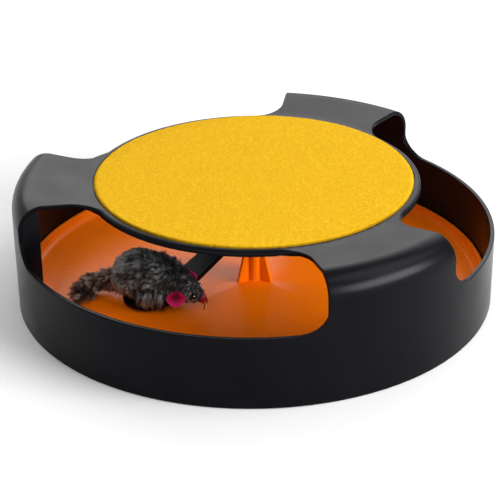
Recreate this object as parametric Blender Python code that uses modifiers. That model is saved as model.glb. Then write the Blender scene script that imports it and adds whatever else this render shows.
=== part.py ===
"""Spinning mouse cat toy.

A dished base and a three-armed cover make a round track. A stuffed mouse rides in it on an arm
that turns freely on the base's post, and a scratch pad lies on top of the cover.
Metres, +Z up. The origin is on the turning axis, on the floor.
"""

import math

import bmesh
import bpy
from mathutils import Matrix, Vector

MM = 0.001

# Fits, cuts and facets
FIT = 0.3 * MM
OVERRUN = 4 * MM
MERGE = 0.05 * MM
WIDE_STEPS = 96
MID_STEPS = 32
SMALL_STEPS = 16
SCREW_STEPS = 12
CORNER_STEPS = 6
SHARP_ANGLE = math.radians(32)

# Three arms and the three windows between them
ARM_COUNT = 3
FIRST_ARM = math.radians(63)
TURN = 2 * math.pi / ARM_COUNT
ARM_HALF_ANGLE = math.radians(17.3)
WINDOW_HALF_ANGLE = TURN / 2 - ARM_HALF_ANGLE

# Cover
COVER_RADIUS = 125 * MM
COVER_TOP = 65.2 * MM
COVER_WALL = 2.2 * MM
WALL_BOTTOM = 0.5 * MM
SHOULDER_RADIUS = 12.5 * MM
RIM_WIDTH = 3.3 * MM
RIM_BELOW_TOP = 2.6 * MM
RIM_DEPTH = 3 * MM
RECESS_DEPTH = 1.2 * MM
SILL_HEIGHT = 37.6 * MM
SILL_CORNER = 12.5 * MM
WINDOW_CORNER = 15 * MM
RIB_DEPTH = 8.8 * MM
RIB_THICKNESS = 2 * MM
RIB_SETBACK = 0.4 * MM

# Scratch pad
PAD_RADIUS = 82.9 * MM
PAD_THICKNESS = 2.1 * MM
PAD_EDGE = 0.5 * MM

# Base tray
FOOT_THICKNESS = 1.2 * MM
FOOT_RADIUS = 7 * MM
FOOT_INSET = 24.3 * MM
TRAY_GAP = 0.5 * MM
TRAY_THICKNESS = 2 * MM
TRAY_RIM_HEIGHT = 9.5 * MM
TRACK_WIDTH = 14.3 * MM
TRACK_RISE = 1.2 * MM
COVE_RADIUS = 4.5 * MM

# Centre post
POST_RADIUS = 3.9 * MM
SHOULDER_HEIGHT = 31 * MM
SPIGOT_RADIUS = 3 * MM
GUSSET_COUNT = 3
FIRST_GUSSET = math.radians(90)
GUSSET_FOOT = 10.6 * MM
GUSSET_TOP = 3.6 * MM
GUSSET_THICKNESS = 1.8 * MM

# Screws, all of one thread size
SCREW_RADIUS = 1.45 * MM
SCREW_HEAD_RADIUS = 2.8 * MM
SCREW_HEAD_HEIGHT = 2 * MM
SUNK_HEAD_HEIGHT = 1.35 * MM
CROSS_WIDTH = 0.8 * MM
CROSS_LENGTH = 3 * MM
CROSS_DEPTH = 0.9 * MM
COVER_SCREW_LENGTH = 14 * MM
PIVOT_SCREW_LENGTH = 10 * MM
MOUSE_SCREW_LENGTH = 9 * MM
SCREW_INSET = 5.3 * MM
BOSS_WALL = 1.75 * MM
BOSS_WEB = 2 * MM
TURRET_WALL = 1.4 * MM
TURRET_PROUD = 0.2 * MM
TURRET_SEAT = 3 * MM
WASHER_RADIUS = 5.5 * MM
WASHER_THICKNESS = 0.8 * MM

# Rotor
ROTOR_ANGLE = math.radians(-153.8)
HUB_RADIUS = 6.5 * MM
HUB_HEIGHT = 12.8 * MM
HUB_CHAMFER = 0.6 * MM
ARM_DROP_FROM_HUB_TOP = 3.1 * MM
ARM_THICKNESS = 2.2 * MM
ARM_ROOT_WIDTH = 11.6 * MM
ARM_END_WIDTH = 18 * MM
ARM_BEND_AT = 48.2 * MM
ARM_BEND_RADIUS = 8 * MM
PLATE_CIRCLE = 61.3 * MM
PLATE_RADIUS = 13.5 * MM
PLATE_THICKNESS = 2.5 * MM
PLATE_CLEARANCE = 2.5 * MM
PLATE_EDGE = 0.5 * MM

# Mouse, in its own frame: X to the nose, Y to its left, Z up from the top of the plate
MOUSE_HEADING = math.radians(-27)
BODY_LENGTH = 38 * MM
BODY_WIDTH = 25 * MM
BODY_HEIGHT = 28 * MM
BODY_LIFT = 12.1 * MM
CORE_LENGTH = 26 * MM
CORE_WIDTH = 15 * MM
CORE_HEIGHT = 13 * MM
HEAD_LENGTH = 20 * MM
HEAD_WIDTH = 15 * MM
HEAD_HEIGHT = 14 * MM
HEAD_FORWARD_SHARE = 0.545
HEAD_LEFT_BESIDE_FLAT_ARM = 8.55 * MM
HEAD_SHY_SHARE = 0.18
HEAD_LIFT = 7.5 * MM
HEAD_TURN = math.radians(14)
HEAD_NOD = math.radians(27)
HEAD_TILT = math.radians(15)
EAR_RADIUS = 4.2 * MM
EAR_CUP = 1.9 * MM
EAR_THICKNESS = 1 * MM
EYE_RADIUS = 1.5 * MM
NOSE_RADIUS = 2.3 * MM
WHISKER_RADIUS = 0.3 * MM
WHISKER_LENGTH = 6 * MM
TAIL_LENGTH = 32 * MM
TAIL_RADIUS = 4.3 * MM
TAIL_ROOT_SHARE = 0.37
TAIL_ROOT_LIFT = 4.6 * MM
TAIL_TIP_LIFT = -0.6 * MM
STUFFED_SIDES = 8
STUFFED_LEVELS = 2

# Shares of the body's and head's length, width and height at each ring, tail end first
BODY_SHARES = [(-0.46, 0.45, 0.42), (-0.32, 0.86, 0.84), (-0.02, 1, 1), (0.26, 0.86, 0.84), (0.46, 0.5, 0.5)]
HEAD_SHARES = [(-0.46, 0.6, 0.62), (-0.24, 1, 1), (0.05, 0.9, 0.9), (0.29, 0.58, 0.58), (0.46, 0.3, 0.3)]
# Shares of the head's size where an ear's cup and an eye sit, and the way that the left ear faces
EAR_SHARES = (-0.05, 0.48, 0.07)
EAR_FACING = (0.35, 0.9, 0.25)
EYE_SHARES = (0.26, 0.3, 0.12)
# Shares of a whisker's length forward, outward and down
WHISKER_SHARES = [(0, 0, 0), (0.42, 0.12, 0.3), (0.56, 0.2, 0.85)]
# Shares of the tail's length back and to the right, of its drop, and of its thickness
TAIL_SHARES = [(0, 0, 0, 1), (0.21, 0, 0, 1), (0.42, 0.03, 0.4, 0.95), (0.53, 0.18, 0.6, 0.86),
               (0.53, 0.44, 0.8, 0.72), (0.57, 0.57, 1, 0.5)]

# Heights and radii that follow from the sizes above
RIM_RADIUS = PAD_RADIUS + FIT + RIM_WIDTH
RIM_TOP = COVER_TOP - RIM_BELOW_TOP
RECESS_FLOOR = RIM_TOP - RECESS_DEPTH
PLATE_UNDERSIDE = RIM_TOP - RIM_DEPTH
WALL_INSIDE = COVER_RADIUS - COVER_WALL
TRAY_UNDERSIDE = FOOT_THICKNESS + FIT
TRAY_FLOOR = TRAY_UNDERSIDE + TRAY_THICKNESS
TRAY_RADIUS = WALL_INSIDE - TRAY_GAP
TRACK_RADIUS = TRAY_RADIUS - TRACK_WIDTH
FOOT_CIRCLE = TRAY_RADIUS - FOOT_INSET
SCREW_CIRCLE = WALL_INSIDE - SCREW_INSET
BOSS_RADIUS = SCREW_RADIUS + FIT + BOSS_WALL
TURRET_RADIUS = SCREW_HEAD_RADIUS + FIT + TURRET_WALL
TURRET_TOP = TRAY_RIM_HEIGHT + TURRET_PROUD
FITTINGS_BOTTOM = TURRET_TOP + FIT
SCREW_SEAT = TURRET_TOP - TURRET_SEAT
HUB_BOTTOM = SHOULDER_HEIGHT + FIT
SPIGOT_TOP = HUB_BOTTOM + HUB_HEIGHT + FIT
ARM_ROOT_HEIGHT = HUB_BOTTOM + HUB_HEIGHT - ARM_DROP_FROM_HUB_TOP
PLATE_BOTTOM = TRAY_FLOOR + PLATE_CLEARANCE
PLATE_TOP = PLATE_BOTTOM + PLATE_THICKNESS
HEAD_FORWARD = BODY_LENGTH * HEAD_FORWARD_SHARE
# The steeper the arm climbs, the further the head keeps to the right of it
HEAD_LEFT = HEAD_LEFT_BESIDE_FLAT_ARM - HEAD_SHY_SHARE * (ARM_ROOT_HEIGHT - PLATE_TOP)


def clear_scene():
    """Removes every object, so that the script can run again in an open file."""
    for old in list(bpy.data.objects):
        bpy.data.objects.remove(old)
    for old in list(bpy.data.collections):
        bpy.data.collections.remove(old)


def new_collection(name):
    """A collection under the scene's own."""
    made = bpy.data.collections.new(name)
    bpy.context.scene.collection.children.link(made)
    return made


def new_object(name, data, home):
    """An object in one collection, drawn as wire where it is only a cutter."""
    made = bpy.data.objects.new(name, data)
    home.objects.link(made)
    if home == CUTTERS:
        made.hide_render = True
        made.display_type = "WIRE"
    return made


def new_material(name, hex_colour, roughness, metallic=0.0):
    """A Principled material from an sRGB colour."""
    made = bpy.data.materials.new(name)
    made.use_nodes = True
    channels = [int(hex_colour[i:i + 2], 16) / 255 for i in (0, 2, 4)]
    linear = [c / 12.92 if c <= 0.04045 else ((c + 0.055) / 1.055) ** 2.4 for c in channels]
    shader = made.node_tree.nodes["Principled BSDF"]
    shader.inputs["Base Color"].default_value = (*linear, 1)
    shader.inputs["Roughness"].default_value = roughness
    shader.inputs["Metallic"].default_value = metallic
    made.diffuse_color = (*linear, 1)
    return made


def arc(centre, radius, start, end, steps=CORNER_STEPS):
    """Points on an arc between two angles in radians."""
    angles = [start + (end - start) * i / steps for i in range(steps + 1)]
    return [(centre[0] + radius * math.cos(a), centre[1] + radius * math.sin(a)) for a in angles]


def polar(radius, angle):
    """A point of the plan at a radius and an angle."""
    return (radius * math.cos(angle), radius * math.sin(angle))


def turned(name, profile, steps, home, ring=False):
    """A solid turned about Z from (radius, height) points that run down its outer side."""
    mesh = bpy.data.meshes.new(name)
    count = len(profile)
    edges = [(i, i + 1) for i in range(count - 1)]
    if ring:
        edges.append((count - 1, 0))
    mesh.from_pydata([(radius, 0, height) for radius, height in profile], edges, [])
    made = new_object(name, mesh, home)
    screw = made.modifiers.new("turn", "SCREW")
    screw.steps = steps
    screw.render_steps = steps
    screw.use_merge_vertices = True
    screw.merge_threshold = MERGE
    return made


def evaluated_mesh(shape):
    """The mesh of an object with its modifiers applied."""
    bpy.context.view_layer.update()
    graph = bpy.context.evaluated_depsgraph_get()
    return bpy.data.meshes.new_from_object(shape.evaluated_get(graph))


def welded(shape, home):
    """A mesh object in place of a curve object, with its caps welded on."""
    name = shape.name
    mesh = evaluated_mesh(shape)
    place = shape.matrix_world.copy()
    bpy.data.objects.remove(shape)
    cage = bmesh.new()
    cage.from_mesh(mesh)
    bmesh.ops.remove_doubles(cage, verts=cage.verts, dist=MERGE)
    cage.to_mesh(mesh)
    cage.free()
    made = new_object(name, mesh, home)
    made.matrix_world = place
    return made


def extruded(name, outline, thickness, home, place):
    """A flat outline, thickened by half on each side of its plane."""
    curve = bpy.data.curves.new(name, "CURVE")
    curve.dimensions = "2D"
    curve.fill_mode = "BOTH"
    curve.extrude = thickness / 2
    spline = curve.splines.new("POLY")
    spline.points.add(len(outline) - 1)
    for point, (x, y) in zip(spline.points, outline):
        point.co = (x, y, 0, 1)
    spline.use_cyclic_u = True
    shape = new_object(name, curve, home)
    shape.matrix_world = place
    return welded(shape, home)


def from_cage(name, cage, home):
    """An object from a bmesh, which is freed."""
    mesh = bpy.data.meshes.new(name)
    cage.to_mesh(mesh)
    cage.free()
    return new_object(name, mesh, home)


def box(name, size, centre, home, angle=0):
    """A box on a place in the plan's frame, turned about Z by an angle."""
    cage = bmesh.new()
    bmesh.ops.create_cube(cage, size=1, matrix=Matrix.Diagonal((*size, 1)))
    made = from_cage(name, cage, home)
    made.matrix_world = Matrix.Rotation(angle, 4, "Z") @ Matrix.Translation(centre)
    return made


def rod(name, radius, bottom, top, home, at=(0, 0), steps=SMALL_STEPS):
    """An upright cylinder between two heights, at a place in the plan."""
    cage = bmesh.new()
    bmesh.ops.create_cone(
        cage,
        cap_ends=True,
        segments=steps,
        radius1=radius,
        radius2=radius,
        depth=top - bottom,
        matrix=Matrix.Translation((0, 0, (bottom + top) / 2)),
    )
    made = from_cage(name, cage, home)
    made.location = (*at, 0)
    return made


def combine(part, tool, operation):
    """Joins a tool to a part, cuts it out, or keeps what they share."""
    step = part.modifiers.new(tool.name, "BOOLEAN")
    step.operation = operation
    step.solver = "EXACT"
    step.object = tool


def grown(part):
    """A cutter that stands proud of a stuffed part by the fit."""
    bpy.context.view_layer.update()
    made = new_object(part.name + "_clearance", part.data, CUTTERS)
    made.parent = part.parent
    made.matrix_local = part.matrix_local
    smooth = made.modifiers.new("round", "SUBSURF")
    smooth.levels = STUFFED_LEVELS
    smooth.render_levels = STUFFED_LEVELS
    grow = made.modifiers.new("grow", "DISPLACE")
    grow.strength = FIT
    grow.mid_level = 0
    return made


def finish(part, material):
    """Applies the modifiers, gives the material, and shades round faces smooth."""
    mesh = evaluated_mesh(part)
    part.modifiers.clear()
    part.data = mesh
    mesh.name = part.name
    mesh.shade_smooth()
    mesh.set_sharp_from_angle(angle=SHARP_ANGLE)
    mesh.materials.clear()
    mesh.materials.append(material)


def arm_angle(index):
    """The direction of an arm's middle."""
    return FIRST_ARM + index * TURN


def window_angle(index):
    """The direction of a window's middle."""
    return arm_angle(index) + TURN / 2


def window_plan():
    """The plan of a window about +X: a sector outside the round top, with filleted inner corners."""
    centre_radius = RIM_RADIUS + WINDOW_CORNER
    lean = math.asin(WINDOW_CORNER / centre_radius)
    side = WINDOW_HALF_ANGLE
    outside = COVER_RADIUS + OVERRUN
    corner = polar(centre_radius, side - lean)
    fillet = arc(corner, WINDOW_CORNER, side + math.pi / 2, side - lean + math.pi)
    rim = arc((0, 0), RIM_RADIUS, side - lean, 0, WIDE_STEPS // 8)
    half = arc((0, 0), outside, 0, side, WIDE_STEPS // 8) + fillet + rim[1:]
    mirrored = [(x, -y) for x, y in reversed(half[1:-1])]
    return half + mirrored


def window_front():
    """The window seen from outside: straight sides, and round corners at the sill."""
    half_width = (COVER_RADIUS + FIT) * math.sin(WINDOW_HALF_ANGLE)
    corner = (half_width - SILL_CORNER, SILL_HEIGHT + SILL_CORNER)
    top = COVER_TOP + OVERRUN
    right = arc(corner, SILL_CORNER, -math.pi / 2, 0) + [(half_width, top)]
    return [(-x, z) for x, z in reversed(right)] + right


def window_cutter(index):
    """What a window takes out: its plan, above the sill line of its front."""
    turn = Matrix.Rotation(window_angle(index), 4, "Z")
    low = SILL_HEIGHT - OVERRUN
    high = COVER_TOP + OVERRUN / 2
    place = turn @ Matrix.Translation((0, 0, (low + high) / 2))
    plan = extruded(f"window_plan_{index + 1}", window_plan(), high - low, CUTTERS, place)
    reach = COVER_RADIUS + 2 * OVERRUN
    upright = Matrix.Rotation(math.pi / 2, 4, "Z") @ Matrix.Rotation(math.pi / 2, 4, "X")
    place = turn @ Matrix.Translation((reach / 2, 0, 0)) @ upright
    front = extruded(f"window_front_{index + 1}", window_front(), reach, CUTTERS, place)
    combine(plan, front, "INTERSECT")
    return plan


def skin_profile(inset, bottom):
    """The cover's outer line, moved inwards: the round top, the arms' slope, the shoulder and the wall."""
    centre = (COVER_RADIUS - SHOULDER_RADIUS, COVER_TOP - SHOULDER_RADIUS)
    shoulder = arc(centre, SHOULDER_RADIUS - inset, math.pi / 2, 0)
    return [(RIM_RADIUS, RIM_TOP - inset)] + shoulder + [(COVER_RADIUS - inset, bottom)]


def make_cover():
    """The black moulding: wall, arms, round top with its recess, inner ribs and screw bosses."""
    recess_radius = PAD_RADIUS + FIT
    step = RIM_RADIUS + COVER_WALL
    inside = list(reversed(skin_profile(COVER_WALL, WALL_BOTTOM)))[:-1]
    slope = (inside[-1][1] - (RIM_TOP - COVER_WALL)) / (inside[-1][0] - RIM_RADIUS)
    step_top = RIM_TOP - COVER_WALL + slope * COVER_WALL
    top = [(0, RECESS_FLOOR), (recess_radius, RECESS_FLOOR), (recess_radius, RIM_TOP)]
    under = [(step, step_top), (step, PLATE_UNDERSIDE), (0, PLATE_UNDERSIDE)]
    cover = turned("top_cover", top + skin_profile(0, WALL_BOTTOM) + inside + under, WIDE_STEPS, PARTS)

    # What stands inside the skin is trimmed to the middle of the skin
    middle = skin_profile(COVER_WALL / 2, FITTINGS_BOTTOM)
    core_line = [(0, RIM_TOP - COVER_WALL / 2)] + middle + [(0, FITTINGS_BOTTOM)]
    core = turned("skin_middle", core_line, WIDE_STEPS, CUTTERS)
    height = COVER_TOP - WALL_BOTTOM
    middle_height = WALL_BOTTOM + height / 2
    for index in range(ARM_COUNT):
        rib_size = (RIB_DEPTH + COVER_WALL, RIB_THICKNESS, height)
        rib_centre = (COVER_RADIUS - rib_size[0] / 2, -RIB_SETBACK - RIB_THICKNESS / 2, middle_height)
        rib = box(f"rib_{index + 1}", rib_size, rib_centre, CUTTERS, arm_angle(index) + ARM_HALF_ANGLE)
        web_size = (COVER_RADIUS - SCREW_CIRCLE, BOSS_WEB, height)
        web_centre = (SCREW_CIRCLE + web_size[0] / 2, 0, middle_height)
        web = box(f"web_{index + 1}", web_size, web_centre, CUTTERS, arm_angle(index))
        at = polar(SCREW_CIRCLE, arm_angle(index))
        boss = rod(f"boss_{index + 1}", BOSS_RADIUS, WALL_BOTTOM, COVER_TOP, CUTTERS, at)
        for fitting in (rib, boss, web):
            combine(fitting, core, "INTERSECT")
            combine(cover, fitting, "UNION")
    for index in range(ARM_COUNT):
        combine(cover, window_cutter(index), "DIFFERENCE")
        at = polar(SCREW_CIRCLE, arm_angle(index))
        depth = SCREW_SEAT + COVER_SCREW_LENGTH + FIT
        pilot = rod(f"pilot_{index + 1}", SCREW_RADIUS + FIT, WALL_BOTTOM, depth, CUTTERS, at)
        combine(cover, pilot, "DIFFERENCE")
    finish(cover, BLACK_PLASTIC)


def make_pad():
    """The carpet disc in the cover's recess."""
    bottom = RECESS_FLOOR + FIT
    top = bottom + PAD_THICKNESS
    edge = arc((PAD_RADIUS - PAD_EDGE, top - PAD_EDGE), PAD_EDGE, math.pi / 2, 0, 2)
    pad = turned("scratch_pad", [(0, top)] + edge + [(PAD_RADIUS, bottom), (0, bottom)], WIDE_STEPS, PARTS)
    finish(pad, YELLOW_CARPET)


def make_tray():
    """The orange moulding: a dished floor, the finned post and three screw turrets."""
    inner = TRAY_RADIUS - TRAY_THICKNESS
    cove = (inner - COVE_RADIUS, TRAY_FLOOR + TRACK_RISE + COVE_RADIUS)
    upper = [(0, TRAY_FLOOR), (TRACK_RADIUS, TRAY_FLOOR)] + arc(cove, COVE_RADIUS, -math.pi / 2, 0, 4)
    rim = [(inner, TRAY_RIM_HEIGHT), (TRAY_RADIUS, TRAY_RIM_HEIGHT)]
    lower = arc(cove, COVE_RADIUS + TRAY_THICKNESS, 0, -math.pi / 2, 4)
    lower += [(TRACK_RADIUS, TRAY_UNDERSIDE), (0, TRAY_UNDERSIDE)]
    tray = turned("base_tray", upper + rim + lower, WIDE_STEPS, PARTS)

    root = TRAY_FLOOR - TRAY_THICKNESS / 2
    post_line = [(0, SPIGOT_TOP), (SPIGOT_RADIUS, SPIGOT_TOP), (SPIGOT_RADIUS, SHOULDER_HEIGHT)]
    post_line += [(POST_RADIUS, SHOULDER_HEIGHT), (POST_RADIUS, root), (0, root)]
    combine(tray, turned("post", post_line, SMALL_STEPS, CUTTERS), "UNION")
    # The fins' sloping edge runs on down into the floor
    lean = (GUSSET_FOOT - GUSSET_TOP) / (SHOULDER_HEIGHT - TRAY_FLOOR)
    foot = GUSSET_FOOT + lean * (TRAY_FLOOR - root)
    fin_top = SHOULDER_HEIGHT - FIT
    fin = [(0, root), (foot, root), (GUSSET_TOP, fin_top), (0, fin_top)]
    for index in range(GUSSET_COUNT):
        angle = FIRST_GUSSET + index * 2 * math.pi / GUSSET_COUNT
        place = Matrix.Rotation(angle, 4, "Z") @ Matrix.Rotation(math.pi / 2, 4, "X")
        combine(tray, extruded(f"fin_{index + 1}", fin, GUSSET_THICKNESS, CUTTERS, place), "UNION")
    bore_bottom = SPIGOT_TOP + FIT + WASHER_THICKNESS - PIVOT_SCREW_LENGTH
    bore = rod("post_bore", SCREW_RADIUS + FIT, bore_bottom, SPIGOT_TOP + OVERRUN, CUTTERS)
    combine(tray, bore, "DIFFERENCE")

    for index in range(ARM_COUNT):
        at = polar(SCREW_CIRCLE, arm_angle(index))
        turret = rod(f"turret_{index + 1}", TURRET_RADIUS, TRAY_UNDERSIDE, TURRET_TOP, CUTTERS, at)
        seat = rod(f"seat_{index + 1}", SCREW_HEAD_RADIUS + FIT, -OVERRUN, SCREW_SEAT, CUTTERS, at)
        hole = rod(f"hole_{index + 1}", SCREW_RADIUS + FIT, -OVERRUN, COVER_TOP, CUTTERS, at)
        combine(tray, turret, "UNION")
        combine(tray, seat, "DIFFERENCE")
        combine(tray, hole, "DIFFERENCE")
    finish(tray, ORANGE_PLASTIC)


def make_feet():
    """Three thin foam discs under the tray, below the windows."""
    for index in range(ARM_COUNT):
        at = polar(FOOT_CIRCLE, window_angle(index))
        finish(rod(f"foot_{index + 1}", FOOT_RADIUS, 0, FOOT_THICKNESS, PARTS, at, MID_STEPS), GREY_FOAM)


def make_screw(name, length, place, parent=None, sunk=False):
    """A cross-head screw whose seat is its origin and whose shank points up its own Z."""
    head = SUNK_HEAD_HEIGHT if sunk else SCREW_HEAD_HEIGHT
    tip = [(0, length), (SCREW_RADIUS / 2, length), (SCREW_RADIUS, length - SCREW_RADIUS), (SCREW_RADIUS, 0)]
    if sunk:
        under_head = [(SCREW_HEAD_RADIUS, -head)]
    else:
        rounding = SCREW_HEAD_HEIGHT / 2
        corner = (SCREW_HEAD_RADIUS - rounding, rounding - head)
        under_head = [(SCREW_HEAD_RADIUS, 0)] + arc(corner, rounding, 0, -math.pi / 2, 3)
    screw = turned(name, tip + under_head + [(0, -head)], SCREW_STEPS, PARTS)
    screw.parent = parent
    screw.matrix_local = place
    for angle in (0, math.pi / 2):
        size = (CROSS_LENGTH, CROSS_WIDTH, 2 * CROSS_DEPTH)
        slot = box(f"{name}_slot", size, (0, 0, -head), CUTTERS, angle)
        turn = slot.matrix_world.copy()
        slot.parent = parent
        slot.matrix_local = place @ turn
        combine(screw, slot, "DIFFERENCE")
    finish(screw, STEEL)


def make_fasteners():
    """The three cover screws from below, and the washer and screw on top of the post."""
    for index in range(ARM_COUNT):
        at = polar(SCREW_CIRCLE, arm_angle(index))
        place = Matrix.Translation((*at, SCREW_SEAT - FIT))
        make_screw(f"cover_screw_{index + 1}", COVER_SCREW_LENGTH, place)
    bottom = SPIGOT_TOP + FIT
    top = bottom + WASHER_THICKNESS
    inner = SCREW_RADIUS + FIT
    line = [(inner, top), (WASHER_RADIUS, top), (WASHER_RADIUS, bottom), (inner, bottom)]
    finish(turned("pivot_washer", line, MID_STEPS, PARTS, ring=True), STEEL)
    place = Matrix.Translation((0, 0, top + FIT)) @ Matrix.Rotation(math.pi, 4, "X")
    make_screw("pivot_screw", PIVOT_SCREW_LENGTH, place)


def arm_strip():
    """The rotor arm's middle surface: straight down from the hub, then a bend into the plate."""
    plate_middle = PLATE_BOTTOM + PLATE_THICKNESS / 2
    fall = math.atan2(ARM_ROOT_HEIGHT - plate_middle, ARM_BEND_AT)
    centre = (ARM_BEND_AT + ARM_BEND_RADIUS * math.tan(fall / 2), plate_middle + ARM_BEND_RADIUS)
    bend = arc(centre, ARM_BEND_RADIUS, -math.pi / 2 - fall, -math.pi / 2, 4)
    path = [(0, ARM_ROOT_HEIGHT)] + bend + [(PLATE_CIRCLE, plate_middle)]
    points = []
    for x, z in path:
        share = min(x / ARM_BEND_AT, 1)
        half_width = (ARM_ROOT_WIDTH + (ARM_END_WIDTH - ARM_ROOT_WIDTH) * share) / 2
        points += [(x, -half_width, z), (x, half_width, z)]
    faces = [(2 * i, 2 * i + 2, 2 * i + 3, 2 * i + 1) for i in range(len(path) - 1)]
    mesh = bpy.data.meshes.new("arm_strip")
    mesh.from_pydata(points, [], faces)
    strip = new_object("arm_strip", mesh, CUTTERS)
    thicken = strip.modifiers.new("thicken", "SOLIDIFY")
    thicken.thickness = ARM_THICKNESS
    thicken.offset = 0
    thicken.use_even_offset = True
    return strip


def make_rotor(axis):
    """The black arm: a hub on the post, a sloping strip, and the round plate under the mouse."""
    hub_top = HUB_BOTTOM + HUB_HEIGHT
    chamfer = HUB_RADIUS - HUB_CHAMFER
    hub_line = [(0, hub_top), (chamfer, hub_top), (HUB_RADIUS, hub_top - HUB_CHAMFER)]
    hub_line += [(HUB_RADIUS, HUB_BOTTOM + HUB_CHAMFER), (chamfer, HUB_BOTTOM), (0, HUB_BOTTOM)]
    rotor = turned("rotor_arm", hub_line, MID_STEPS, PARTS)
    rotor.parent = axis

    edge = PLATE_RADIUS - PLATE_EDGE
    plate_line = [(0, PLATE_TOP), (edge, PLATE_TOP), (PLATE_RADIUS, PLATE_TOP - PLATE_EDGE)]
    plate_line += [(PLATE_RADIUS, PLATE_BOTTOM + PLATE_EDGE), (edge, PLATE_BOTTOM), (0, PLATE_BOTTOM)]
    plate = turned("plate", plate_line, MID_STEPS, CUTTERS)
    plate.location.x = PLATE_CIRCLE

    hole_radius = SCREW_RADIUS + FIT
    mouth = SCREW_HEAD_RADIUS + FIT
    sink_top = PLATE_BOTTOM + SUNK_HEAD_HEIGHT
    sink_line = [(0, PLATE_TOP + OVERRUN), (hole_radius, PLATE_TOP + OVERRUN), (hole_radius, sink_top)]
    sink_line += [(mouth, PLATE_BOTTOM), (mouth, PLATE_BOTTOM - OVERRUN), (0, PLATE_BOTTOM - OVERRUN)]
    sink = turned("sink", sink_line, SMALL_STEPS, CUTTERS)
    sink.location.x = PLATE_CIRCLE

    bore = rod("hub_bore", SPIGOT_RADIUS + FIT, HUB_BOTTOM - OVERRUN, hub_top + OVERRUN, CUTTERS)
    strip = arm_strip()
    for tool, operation in ((strip, "UNION"), (plate, "UNION"), (bore, "DIFFERENCE"), (sink, "DIFFERENCE")):
        tool.parent = axis
        combine(rotor, tool, operation)
    finish(rotor, BLACK_PLASTIC)

    place = Matrix.Translation((PLATE_CIRCLE, 0, sink_top))
    make_screw("mouse_screw", MOUSE_SCREW_LENGTH, place, axis, sunk=True)


def stuffed(name, size, shares, place, parent):
    """A soft form: a cage of rings along X, rounded by subdivision."""
    length, width, height = size
    # Subdivision draws a ring in by this share, which the cage makes up for
    swell = 3 / (2 + math.cos(2 * math.pi / STUFFED_SIDES))
    points = []
    for along, across, upward in shares:
        for side in range(STUFFED_SIDES):
            angle = 2 * math.pi * side / STUFFED_SIDES
            y = width / 2 * across * swell * math.cos(angle)
            z = height / 2 * upward * swell * math.sin(angle)
            points.append((length * along, y, z))
    faces = []
    last = (len(shares) - 1) * STUFFED_SIDES
    for ring in range(0, last, STUFFED_SIDES):
        for side in range(STUFFED_SIDES):
            here = ring + side
            beside = ring + (side + 1) % STUFFED_SIDES
            faces.append((here, beside, beside + STUFFED_SIDES, here + STUFFED_SIDES))
    faces.append(tuple(reversed(range(STUFFED_SIDES))))
    faces.append(tuple(range(last, last + STUFFED_SIDES)))
    mesh = bpy.data.meshes.new(name)
    mesh.from_pydata(points, [], faces)
    made = new_object(name, mesh, PARTS)
    made.parent = parent
    made.matrix_local = place
    smooth = made.modifiers.new("round", "SUBSURF")
    smooth.levels = STUFFED_LEVELS
    smooth.render_levels = STUFFED_LEVELS
    return made


def dome(name, growth, home, parent):
    """The upper half of an egg on the plate's top, grown all round for a clearance."""
    cage = bmesh.new()
    size = [CORE_LENGTH / 2 + growth, CORE_WIDTH / 2 + growth, CORE_HEIGHT + growth]
    bmesh.ops.create_uvsphere(
        cage,
        u_segments=SMALL_STEPS,
        v_segments=SMALL_STEPS // 2,
        radius=1,
        matrix=Matrix.Diagonal((*size, 1)),
    )
    made = from_cage(name, cage, home)
    made.parent = parent
    return made


def ball(name, radius, centre, parent, home):
    """A round bead at a place in its parent's frame."""
    cage = bmesh.new()
    bmesh.ops.create_uvsphere(cage, u_segments=SMALL_STEPS, v_segments=SMALL_STEPS // 2, radius=radius)
    made = from_cage(name, cage, home)
    made.parent = parent
    made.location = centre
    return made


def scaled(shares, size):
    """A place given in shares of a length, a width and a height."""
    return [share * side for share, side in zip(shares, size)]


def tube(name, points, radius, thickness_shares, roundness):
    """A soft tube along a smooth path, thinner where its shares say so."""
    curve = bpy.data.curves.new(name, "CURVE")
    curve.dimensions = "3D"
    curve.bevel_depth = radius
    curve.bevel_resolution = roundness
    curve.resolution_u = 4
    curve.use_fill_caps = True
    spline = curve.splines.new("BEZIER")
    spline.bezier_points.add(len(points) - 1)
    for knot, place, share in zip(spline.bezier_points, points, thickness_shares):
        knot.co = place
        knot.radius = share
        knot.handle_left_type = "AUTO"
        knot.handle_right_type = "AUTO"
    return welded(new_object(name, curve, PARTS), PARTS)


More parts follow.
